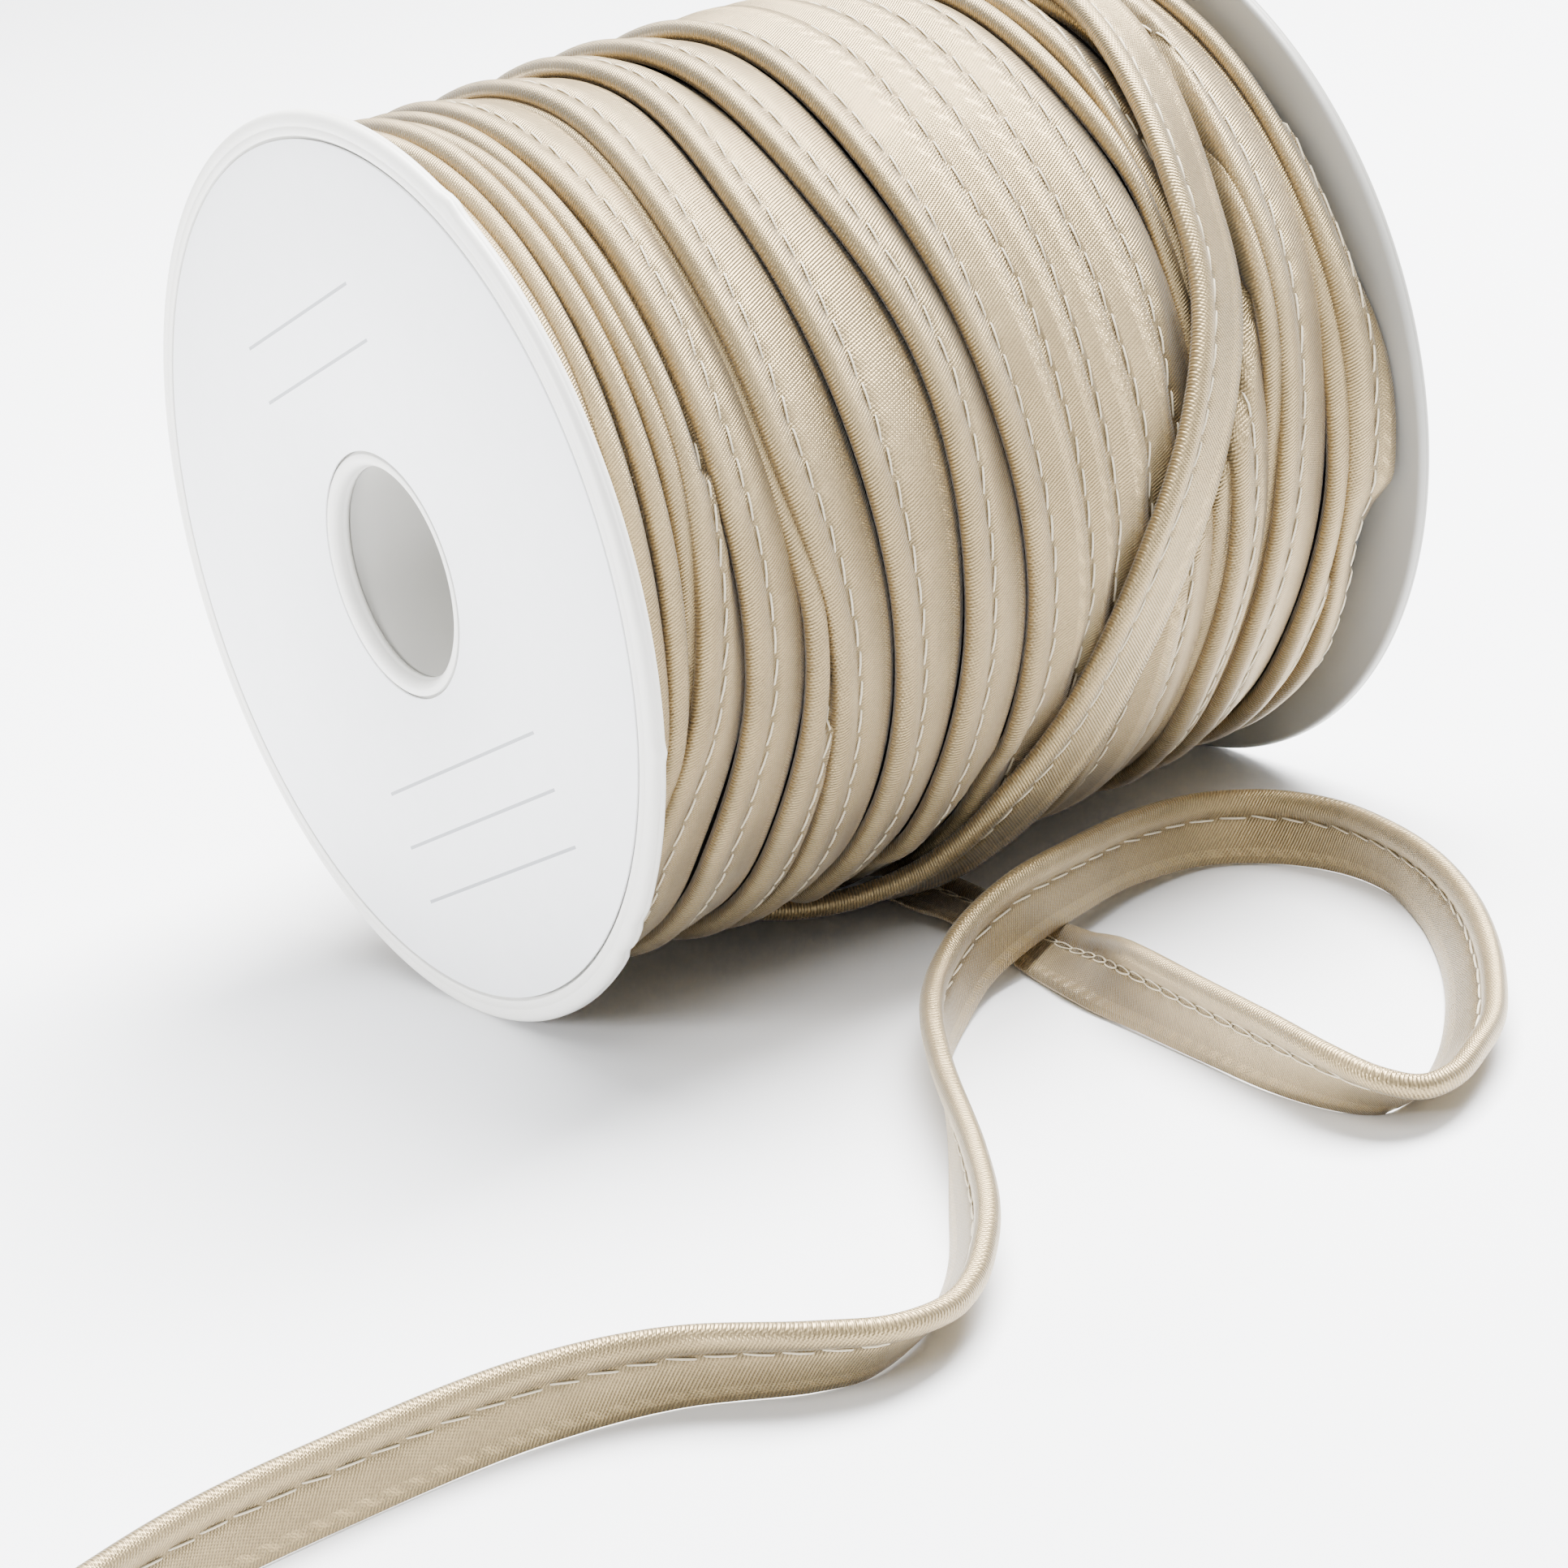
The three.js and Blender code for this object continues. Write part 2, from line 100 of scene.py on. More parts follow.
# Left edge of each turn at these angles, then the winding's end; 0 faces -Y, 90 faces up
# and 200 stands for the whole back. Tucked turns lie with their beads under a neighbour.
ANGLES = np.array([-40.0, -10, 20, 50, 80, 200])
TURN_EDGES = np.array([
    (-58.4, -58.4, -58.3, -57.9, -57.6, -58.1),
    (-58.2, -58.0, -56.7, -55.0, -54.8, -55.2),
    (-58.0, -55.3, -53.0, -52.0, -51.2, -52.0),
    (-57.8, -52.0, -49.8, -48.8, -48.4, -49.0),
    (-57.6, -51.7, -47.6, -46.8, -46.6, -46.6),
    (-47.7, -43.9, -43.5, -43.0, -42.7, -41.6),
    (-37.7, -35.3, -35.6, -35.3, -33.5, -34.4),
    (-31.7, -32.3, -35.3, -35.0, -33.2, -31.8),
    (-22.7, -22.7, -24.3, -25.3, -22.9, -23.4),
    (-14.0, -12.3, -11.9, -15.0, -15.0, -14.2),
    (-4.3, -2.8, -4.0, -5.9, -5.3, -5.0),
    (4.4, 5.7, 4.7, 3.6, 5.2, 4.6),
    (9.8, 10.3, 9.7, 9.7, 11.0, 10.6),
    (13.9, 16.3, 15.7, 15.3, 16.4, 16.4),
    (20.3, 22.3, 22.0, 21.3, 22.1, 22.0),
    (27.2, 28.5, 29.2, 27.5, 27.6, 27.6),
    (27.4, 29.4, 30.7, 31.2, 31.6, 31.4),
    (27.7, 30.3, 32.2, 38.9, 39.6, 36.2),
    (34.4, 37.5, 40.3, 43.8, 44.6, 43.2),
    (34.8, 37.8, 42.7, 44.2, 45.2, 44.0),
    (44.7, 47.3, 51.3, 53.4, 53.2, 52.0),
    (50.0, 49.9, 52.0, 53.8, 54.0, 53.2),
    (57.6, 58.3, 58.0, 57.4, 57.4, 57.6),
])
TUCKED = (11, 12, 13, 14)
LEAST_SPACING = 0.16

# How the turns lie, in millimetres: how far left of its edge and how far down a tucked
# turn's bead is, how far a bead sinks where it has no room, how deep a tape starts, goes
# on under the next bead or comes up over a tucked one, how deep the layer below is, and
# the radius at which lengths round the winding are counted
TUCK_SHIFT = 1.0
TUCK_DEPTH = 0.7
CROWDED_DEPTH = 2.0
TAPE_DEPTH = 1.22
SLOPE_UNDER = 1.15
STEP_UNDER = 1.3
RISE_OVER = 0.95
LAST_TAPE_DEPTH = 2.2
LAYER_DEPTH = 4.3
MEAN_RADIUS = 57.5

# Length in metres by which the weave is shifted from each turn to the next
WEAVE_SHIFT = 0.0137

# Crossing strand: angle, x of its bead, lift of the bead and of the tape's edge
CROSSING = np.array([
    (-84, -31.5, -3.5, -3.8), (-78, -26.0, -1.8, -0.8), (-72, -20.6, 0.0, 1.1),
    (-66, -15.4, 0.9, 2.1), (-58, -10.0, 1.2, 3.0), (-50, -6.3, 1.1, 2.7),
    (-42, -2.6, 0.8, 2.4), (-33, 2.4, 0.6, 1.8), (-25, 6.6, 0.4, 0.6),
    (-10, 14.6, 0.4, -0.3), (5, 23.8, 0.4, -1.6), (20, 30.6, 0.4, -2.3),
    (35, 33.4, 0.5, -2.2), (50, 36.6, 0.4, -1.9), (65, 39.8, 0.1, -1.7),
    (80, 42.2, -0.6, -2.0), (95, 44.0, -1.8, -2.6), (110, 45.2, -4.2, -4.6),
])

# Loose end: bead centre and tape edge, from under the winding outwards
LOOSE_END = np.array([
    (2.0, -17, 1.6, -6.2, -17.5, 1.9), (1.3, -26, 1.6, -6.9, -26, 2.1),
    (0.5, -35, 1.7, -7.6, -35, 2.8), (-0.3, -45, 1.9, -8.4, -44.4, 2.0),
    (-1.9, -57, 2.9, -9.6, -54.9, 0.5),
    (-4.9, -67, 5.6, -11.1, -64.6, 0.5), (-8.3, -76.5, 7.8, -12.1, -75.0, 0.4),
    (-11.6, -93.5, 8.6, -13.5, -93.2, 0.4), (-13.8, -108.5, 8.8, -14.4, -108.5, 0.4),
    (-15.1, -121.0, 8.3, -12.9, -119.5, 0.4), (-13.6, -128.3, 6.7, -10.5, -123.6, 0.4),
    (-10.2, -131.2, 5.3, -9.0, -124.3, 0.4), (-5.2, -131.0, 4.9, -6.6, -124.0, 0.4),
    (1.7, -127.6, 5.2, -2.0, -121.7, 0.4), (8.6, -122.6, 5.1, 4.2, -117.2, 0.4),
    (15.8, -114.9, 5.9, 11.3, -110.5, 0.4), (22.3, -106.2, 6.9, 18.0, -102.9, 0.4),
    (28.7, -95.3, 7.7, 25.2, -93.2, 0.4), (33.5, -83.4, 8.5, 31.5, -82.4, 0.4),
    (36.5, -70.9, 8.8, 36.2, -70.8, 0.4), (37.5, -59.8, 8.8, 37.1, -60.0, 0.4),
    (35.2, -49.9, 8.8, 34.3, -50.2, 0.5), (28.4, -43.8, 9.3, 27.9, -43.8, 0.9),
    (16.6, -44.6, 10.8, 15.6, -44.6, 2.5), (3.2, -49.0, 12.1, 2.6, -49.8, 3.9),
    (-8.9, -52.6, 12.3, -7.8, -54.0, 4.1), (-18.1, -55.3, 10.6, -15.9, -55.9, 2.5),
    (-26.2, -60.4, 8.9, -24.6, -61.2, 0.7), (-34.9, -70.1, 8.8, -34.4, -70.6, 0.4),
    (-45.0, -86.2, 8.8, -45.0, -85.9, 0.4), (-55.8, -107.2, 7.9, -58.8, -105.3, 0.4),
    (-63.3, -119.9, 7.1, -67.1, -116.6, 0.4), (-69.1, -127.1, 6.5, -72.9, -122.8, 0.4),
    (-74.6, -132.3, 5.9, -78.3, -127.2, 0.4), (-80.6, -136.0, 6.1, -83.0, -130.4, 0.4),
    (-88.6, -137.0, 7.2, -89.0, -132.2, 0.4), (-96.0, -133.3, 8.2, -94.7, -130.6, 0.4),
    (-107.5, -122.6, 8.7, -106.9, -121.8, 0.4), (-121.5, -116.9, 8.8, -121.5, -117.4, 0.4),
    (-145.1, -115.8, 8.7, -144.9, -116.8, 0.4), (-162.9, -117.6, 8.8, -162.8, -118.4, 0.4),
    (-184.0, -124.0, 8.8, -184.2, -124.0, 0.4),
])

# Satin weave: places over the tape, in metres from the bead's centre
BAND_PLACE = 0.0070
BAND_HALF_WIDTH = 0.0006
SELVEDGE_START = 0.0073
# reach of the painted shade in the seam's line, where the tape puckers
PAINTED_SEAM_SHADE_REACH = 0.0006
PUCKER_REACH = 0.0022

# Satin weave: slants of the ribs and of the floats, floats and dots to each rib, the angle
# by which the selvedge's ripple turns in a metre, and the scales of its two noises
RIB_SLANT = -0.6
FLOAT_SLANT = 0.4
FLOATS_PER_RIB = 1.2
DOTS_PER_RIB = (0.85, 0.8)
SELVEDGE_RIPPLE = 9800.0
GRAIN_SCALES = (3600.0, 1300.0, 1.0)
CLOUD_SCALE = 140.0

# Writing lines, in metres on the label's face: direction of a line, distance between two,
# half width as a share of it, and each block's half length and first and last line
RULE_RUN = (-0.928, 0.372)
RULE_PITCH = 0.0075
RULE_HALF_WIDTH = 0.03
RULE_MARGIN = 0.002
RULE_BLOCKS = ((0.0225, -0.0405, -0.0255), (0.0165, 0.0275, 0.0355))
RULE_COLOUR = (0.33, 0.34, 0.36, 1)

# Painted shade: how much darker than the colours the inner plastic and the layer below are
# painted, standing in for the shade on the far flange's inner face, in the bore and between the
# turns
INNER_PAINTED_SHADE = (0.46, 0.455, 0.44)
DEEP_PAINTED_SHADE = 0.12

# Lights: name, place, what each faces, width in metres and power in watts
LIGHTS = (
    ("main", (0.48, 0.16, 1.22), (0, -0.02, 0.05), 1.0, 168.0),
    ("front", (-0.45, -0.75, 1.25), (0, -0.05, 0.06), 0.7, 13.0),
    ("end", (-0.52, 0.20, 0.12), (-0.06, 0, 0.06), 0.12, 5.4),
)

# Sky, and the floor's two colours, reach and depth below the part in millimetres
SKY_COLOUR = (0.90, 0.955, 1.0, 1)
SKY_STRENGTH = 0.50
FLOOR_COLOURS = ((0.83, 0.835, 0.85), (0.86, 0.865, 0.88))
FLOOR_REACH = 4000.0
FLOOR_DEPTH = 0.02

# Camera: place in metres, angles in degrees and lens in millimetres
CAMERA_PLACE = (-0.33330, -0.53817, 0.22815)
CAMERA_AZIMUTH = 31.128
CAMERA_ELEVATION = 18.744
CAMERA_ROLL = -9.0
CAMERA_LENS = 112.77

# Upper half of the piping's section, from the tape's free edge to the bead's far side
UPPER_SECTION = (
    (8.60, 0.10), (8.47, 0.27), (7.3, 0.30), (5.8, 0.33), (4.4, 0.37), (3.4, 0.42),
    (2.8, 0.38), (2.3, 0.22), (1.85, 0.42), (1.5, 0.80), (1.18, 1.05), (0.72, 1.34),
    (0.13, 1.49), (-0.51, 1.41), (-1.06, 1.06), (-1.41, 0.51), (-1.5, 0.0),
)


def closed_section(upper):
    """Whole section: the upper half, then the same points mirrored back below it."""
    lower = [(a, -b) for a, b in upper[-2::-1]]
    return np.array(list(upper) + lower)


STRIP_SECTION = closed_section(UPPER_SECTION)
TURN_SECTION = np.array(list(UPPER_SECTION) + [
    (-1.06, -1.06), (0.0, -1.5), (1.85, -0.42), (4.4, -0.35), (8.27, -0.27),
])


class RollSizes(bpy.types.PropertyGroup):
    """Sizes of the piping's finish."""

    stitch_pitch: bpy.props.FloatProperty(
        name="Stitch pitch", description="Length from one stitch to the next",
        default=4.2 * MM, unit="LENGTH", subtype="DISTANCE",
    )
    thread_radius: bpy.props.FloatProperty(
        name="Thread radius", description="Half the thickness of the sewing thread",
        default=0.155 * MM, unit="LENGTH", subtype="DISTANCE",
    )
    weave_pitch: bpy.props.FloatProperty(
        name="Weave pitch", description="Distance from one rib of the satin to the next",
        default=0.45 * MM, unit="LENGTH", subtype="DISTANCE",
    )
    turn_steps: bpy.props.IntProperty(
        name="Turn steps", description="Sections in each turn of the winding", default=256,
    )
    loose_steps: bpy.props.IntProperty(
        name="Loose end steps", description="Sections along the loose end", default=720,
    )


class RollColours(bpy.types.PropertyGroup):
    """Colours of the roll."""

    satin: bpy.props.FloatVectorProperty(
        name="Satin", description="Colour of the piping's satin", subtype="COLOR",
        size=4, default=(0.385, 0.290, 0.152, 1.0),
    )
    thread: bpy.props.FloatVectorProperty(
        name="Thread", description="Colour of the sewing thread", subtype="COLOR",
        size=4, default=(0.64, 0.56, 0.41, 1.0),
    )
    plastic: bpy.props.FloatVectorProperty(
        name="Plastic", description="Colour of the moulded spool", subtype="COLOR",
        size=4, default=(0.78, 0.77, 0.735, 1.0),
    )
    paper: bpy.props.FloatVectorProperty(
        name="Paper", description="Colour of the label", subtype="COLOR",
        size=4, default=(0.86, 0.87, 0.89, 1.0),
    )


def envelope(x):
    """Height of the bead tops at x: straight lines between the table's rows."""
    return np.interp(x, ENVELOPE[:, 0], ENVELOPE[:, 1])


def smooth(value, low, high):
    """0 below low, 1 above high, and 3t^2 - 2t^3 between."""
    t = np.clip((value - low) / (high - low), 0.0, 1.0)
    return t * t * (3 - 2 * t)


def pressed(x, degrees):
    """How far the crossing strand presses the turns down: 1.5 beside its bead, changing
    evenly to what its tape's edge needs, counted square to the strand's run."""
    angle, bead, _, edge = CROSSING.T
    arc = np.radians(8) * FLANGE_RADIUS
    rise = np.interp(degrees + 4, angle, bead) - np.interp(degrees - 4, angle, bead)
    across = (x - np.interp(degrees, angle, bead)) * np.cos(np.arctan(rise / arc))
    below = np.maximum(0.5, 0.9 - np.interp(degrees, angle, edge))
    share = np.clip(across / 8, 0, 1)
    reach = smooth(across, -6, -1) * (1 - smooth(across, 8.4, 10.4))
    shown = smooth(degrees, -82, -74) * (1 - smooth(degrees, 88, 104))
    return (1.5 * (1 - share) + below * share) * reach * shown


def tops_at(x, degrees):
    """Radius of the bead tops at a place: the table's, plus the last turn's flare, less
    what the crossing strand presses down."""
    turned = (degrees + 180) % 360 - 180
    flared = np.clip((x - 49.5) / 7.5, 0, 1)
    height = np.interp(turned, FLARE[:, 0], FLARE[:, 1])
    return envelope(x) + height * flared - pressed(x, turned)


def round_turn(values, degrees):
    """Rows of values at ANGLES, carried round the spool as closed cubic curves whose
    slope at each angle is that of the line between its two neighbours."""
    count = len(ANGLES)
    place = ANGLES[0] + np.mod(degrees - ANGLES[0], 360.0)
    at = np.concatenate([[ANGLES[-1] - 360], ANGLES, ANGLES[:2] + 360])
    held = np.concatenate([values[:, -1:], values, values[:, :2]], axis=1)
    slope = (held[:, 2:] - held[:, :-2]) / (at[2:] - at[:-2])
    i = np.clip(np.searchsorted(ANGLES, place, side="right"), 1, count)
    span = at[i + 1] - at[i]
    t = (place - at[i]) / span
    s = 1 - t
    return (
        held[:, i] * (1 + 2 * t) * s * s
        + held[:, i + 1] * (1 + 2 * s) * t * t
        + span * t * s * (slope[:, i - 1] * s - slope[:, i] * t)
    )


def round_axis(x, radius, degrees):
    """Points at an angle and radius round the spool's axis, in millimetres."""
    angle = np.radians(degrees)
    return np.stack(np.broadcast_arrays(
        x, -radius * np.cos(angle), AXIS_HEIGHT + radius * np.sin(angle)), axis=-1)


def through_rows(rows, count):
    """Centripetal Catmull-Rom curve through the rows, sampled evenly by row number:
    the spacing of the knots is the square root of the distance between the points."""
    rows = np.asarray(rows, float)
    wide = np.vstack([2 * rows[0] - rows[1], rows, 2 * rows[-1] - rows[-2]])
    place = np.linspace(0, len(rows) - 1, count)
    i = np.clip(place.astype(int), 0, len(rows) - 2)
    t = (place - i)[:, None]
    p0, p1, p2, p3 = wide[i], wide[i + 1], wide[i + 2], wide[i + 3]
    d0, d1, d2 = (
        np.maximum(np.sqrt(np.linalg.norm(b - a, axis=1)), 1e-6)[:, None]
        for a, b in ((p0, p1), (p1, p2), (p2, p3))
    )
    m1 = ((p1 - p0) / d0 - (p2 - p0) / (d0 + d1) + (p2 - p1) / d1) * d1
    m2 = ((p2 - p1) / d1 - (p3 - p1) / (d1 + d2) + (p3 - p2) / d2) * d1
    s = 1 - t
    return (
        p1 * (1 + 2 * t) * s * s + p2 * (1 + 2 * s) * t * t
        + t * s * (m1 * s - m2 * t)
    )


def unit(vectors):
    """Vectors brought to length one."""
    return vectors / np.maximum(np.linalg.norm(vectors, axis=-1, keepdims=True), 1e-12)


def grid_faces(rows, columns, rows_closed, columns_closed):
    """Quads of a grid of points, each from a point, its neighbour across, the one
    diagonal to it and its neighbour along."""
    i = np.arange(rows if rows_closed else rows - 1)
    j = np.arange(columns if columns_closed else columns - 1)
    i, j = (a.ravel() for a in np.meshgrid(i, j, indexing="ij"))
    i2, j2 = (i + 1) % rows, (j + 1) % columns
    corner = lambda a, b: a * columns + b
    return np.stack([corner(i, j), corner(i, j2), corner(i2, j2), corner(i2, j)], axis=1)


def copies(faces, count, size):
    """Faces of a grid of size points, repeated for each of count grids."""
    start = np.arange(count) * size
    return (faces[None] + start[:, None, None]).reshape(-1, 4)


def make_piece(name, points, faces, material, uv=None, caps=()):
    """Mesh object from points in millimetres and quads; uv holds a pair for each corner
    of each quad, and caps are the corner lists of end faces."""
    mesh = bpy.data.meshes.new(name)
    polygons = faces.tolist() + [list(cap) for cap in caps]
    mesh.from_pydata((np.asarray(points).reshape(-1, 3) * MM).tolist(), [], polygons)
    if uv is not None:
        layer = mesh.uv_layers.new(name="weave")
        corners = np.zeros((len(mesh.loops), 2))
        corners[: faces.size] = uv.reshape(-1, 2)
        layer.data.foreach_set("uv", corners.ravel())
    mesh.polygons.foreach_set("use_smooth", [True] * len(mesh.polygons))
    mesh.materials.append(material)
    mesh.update()
    mesh.validate()
    piece = bpy.data.objects.new(name, mesh)
    bpy.context.scene.collection.objects.link(piece)
    return piece


def strip_uv(faces, columns, lengths, across):
    """Corner pairs of length along and place across for a grid's quads. The last row
    and column take the value after the end, so a closed grid has a clean seam."""
    i, j = faces[:, 0] // columns, faces[:, 0] % columns
    along = np.stack([lengths[i], lengths[i], lengths[i + 1], lengths[i + 1]], axis=1)
    over = np.stack([across[j], across[j + 1], across[j + 1], across[j]], axis=1)
    return np.stack([along, over], axis=-1) * MM


def lengths_along(line):
    """Length of a line of points up to each of them."""
    return np.concatenate([[0], np.cumsum(np.linalg.norm(np.diff(line, axis=0), axis=1))])


def frames_along(beads, edges):
    """Directions of a strip at each step: along its run, across from bead to tape edge
    and square to the run, and through the tape, which is along times across."""
    along = unit(np.gradient((beads + edges) / 2, axis=0))
    across = edges - beads
    across = unit(across - along * np.sum(across * along, axis=1, keepdims=True))
    return along, across, np.cross(along, across)


def sweep_strip(name, beads, edges, material):
    """Piping carried along two lines: each section point lies its own distance across
    the tape and through it from the bead's centre, and none goes under the floor. The
    ends are closed."""
    _, across, through = frames_along(beads, edges)
    a, b = STRIP_SECTION[:, 0], STRIP_SECTION[:, 1]
    points = (
        beads[:, None]
        + across[:, None] * a[None, :, None]
        + through[:, None] * b[None, :, None]
    )
    points[..., 2] = np.maximum(points[..., 2], FLOOR_CLEARANCE)
    rows, columns = points.shape[:2]
    faces = grid_faces(rows, columns, False, True)
    around = np.concatenate([a, a[:1]])
    uv = strip_uv(faces, columns, lengths_along(beads), around)
    last = (rows - 1) * columns
    caps = [list(range(columns))[::-1], [last + k for k in range(columns)]]
    return make_piece(name, points, faces, material, uv, caps)


def sampled(line, lengths, places):
    """Values of a line at lengths along it."""
    return np.stack(
        [np.interp(places, lengths, line[:, k]) for k in range(line.shape[1])], axis=-1)


def thread_rings(centre, side, up, radius, corners):
    """Rings of points round the centres of threads: each ring's points lie at the radius,
    evenly turned from the side direction to the up direction."""
    turn = np.arange(corners) * 2 * np.pi / corners
    radius = np.broadcast_to(radius, centre.shape[1])[:, None]
    return (
        centre[:, :, None]
        + side[:, :, None] * (np.cos(turn) * radius)[None, ..., None]
        + up[:, :, None] * (np.sin(turn) * radius)[None, ..., None]
    )


def straight_stitches(line, outward, pitch, radius, seed, shown=None):
    """Stitches along a line as one array of points: each is a thread with five rings of
    six points, thinner and sunk at its ends, turned a little to either side. Where shown
    is given, only stitches at places where it holds are made."""
    lengths = lengths_along(line)
    starts = np.arange(pitch * 0.5, lengths[-1] - pitch * 0.5, pitch)
    if shown is not None:
        starts = starts[np.interp(starts, lengths, shown.astype(float)) > 0.5]
    draw = np.random.default_rng(seed)
    aside = draw.uniform(*STITCH_ASIDE, (len(starts), 2))
    reach = draw.uniform(*STITCH_REACH, len(starts)) * pitch
    step = np.array([-1.0, -0.82, 0.0, 0.82, 1.0])
    thick = np.array([0.35, 0.95, 1.05, 0.95, 0.35]) * radius
    lift = np.array([-0.16, 0.02, 0.09, 0.02, -0.16])
    places = starts[:, None] + step[None] * reach[:, None]
    centre = sampled(line, lengths, places)
    out = unit(sampled(outward, lengths, places))
    along = unit(centre[:, -1:] - centre[:, :1]) + 0 * centre
    side = unit(np.cross(along, out))
    slant = aside[:, :1] + step[None] * aside[:, 1:] * 1.6
    centre = centre + out * lift[None, :, None] + side * slant[..., None]
    return thread_rings(centre, side, out, thick, 6)


def stitch_mesh(name, stitches, material):
    """All stitches of a seam in one mesh, each closed by its two end faces."""
    count, rings, sides = stitches.shape[:3]
    quads = copies(grid_faces(rings, sides, False, True), count, rings * sides)
    start = np.arange(count)[:, None] * rings * sides
    ends = np.arange(sides)[None]
    first = (start + ends).tolist()
    last = (start + (rings - 1) * sides + ends[:, ::-1]).tolist()
    return make_piece(name, stitches, quads[:, ::-1], material, caps=first + last)


def chain_stitches(line, outward, pitch, radius):
    """Links of a chain seam: each is a thread bent into a narrow loop of twelve rings of
    five points, its head lifted over the next link's tail."""
    lengths = lengths_along(line)
    starts = np.arange(pitch, lengths[-1] - pitch, pitch)
    turn = np.linspace(0, 2 * np.pi, 12, endpoint=False)
    ahead = np.cos(turn) * pitch * 0.56
    aside = np.sin(turn) * (0.42 - 0.16 * np.cos(turn))
    height = 0.06 + 0.10 * np.cos(turn)
    places = starts[:, None] + ahead[None]
    centre = sampled(line, lengths, places)
    out = unit(sampled(outward, lengths, places))
    middle = sampled(line, lengths, starts[:, None] + np.array([[-0.5, 0.5]]))
    along = unit(middle[:, 1:] - middle[:, :1]) + 0 * centre
    side = unit(np.cross(along, out))
    centre = centre + side * aside[None, :, None] + out * height[None, :, None]
    run = unit(np.roll(centre, -1, axis=1) - np.roll(centre, 1, axis=1))
    flat = unit(np.cross(out, run))
    return thread_rings(centre, flat, np.cross(run, flat), radius, 5)


def closed_loops(name, loops, material):
    """Mesh of many closed loops of thread."""
    count, rings, sides = loops.shape[:3]
    quads = copies(grid_faces(rings, sides, True, True), count, rings * sides)
    return make_piece(name, loops, quads[:, ::-1], material)


def turned_piece(name, profile, material, steps=288, marks=()):
    """Closed profile of x and radius turned round the spool's axis. Marks raise or sink
    the outermost points near their angles by a bell curve; nothing goes under the
    floor."""
    profile = np.array(profile, float)
    degrees = np.arange(steps) * 360.0 / steps
    x = profile[:, 0][None] + 0 * degrees[:, None]
    radius = profile[:, 1][None] + 0 * degrees[:, None]
    rim = smooth(profile[:, 1], FLANGE_RADIUS - 2.2, FLANGE_RADIUS - 0.4)
    for angle, height, width in marks:
        away = (degrees - angle + 180) % 360 - 180
        radius = radius + height * np.exp(-((away / width) ** 2))[:, None] * rim[None]
    points = round_axis(x, radius, degrees[:, None])
    points[..., 2] = np.maximum(points[..., 2], 0.0)
    return make_piece(name, points, grid_faces(steps, len(profile), True, True), material)


def node(tree, kind, **values):
    """Shader node with its settings and unlinked inputs given by name."""
    made = tree.nodes.new(kind)
    for key, value in values.items():
        if key in made.inputs:
            made.inputs[key].default_value = value
        else:
            setattr(made, key, value)
    return made


def maths(tree, operation, first, second=0.5, third=None):
    """Math node on two or three values or sockets."""
    made = tree.nodes.new("ShaderNodeMath")
    made.operation = operation
    for k, value in enumerate((first, second, third)):
        if value is None:
            continue
        if isinstance(value, (int, float)):
            made.inputs[k].default_value = value
        else:
            tree.links.new(value, made.inputs[k])
    return made.outputs[0]


def effect_group(name, inputs, outputs):
    """Empty node group with named sockets; returns it with its input and output nodes."""
    group = bpy.data.node_groups.new(name, "ShaderNodeTree")
    for label, kind, value in inputs:
        socket = group.interface.new_socket(label, in_out="INPUT", socket_type=kind)
        if value is not None:
            socket.default_value = value
    for label, kind in outputs:
        group.interface.new_socket(label, in_out="OUTPUT", socket_type=kind)
    return group, group.nodes.new("NodeGroupInput"), group.nodes.new("NodeGroupOutput")


def noise(tree, vector, scale, **values):
    """Noise at a scale read from a vector socket."""
    made = node(tree, "ShaderNodeTexNoise", Scale=scale, **values)
    tree.links.new(vector, made.inputs["Vector"])
    return made.outputs[0]


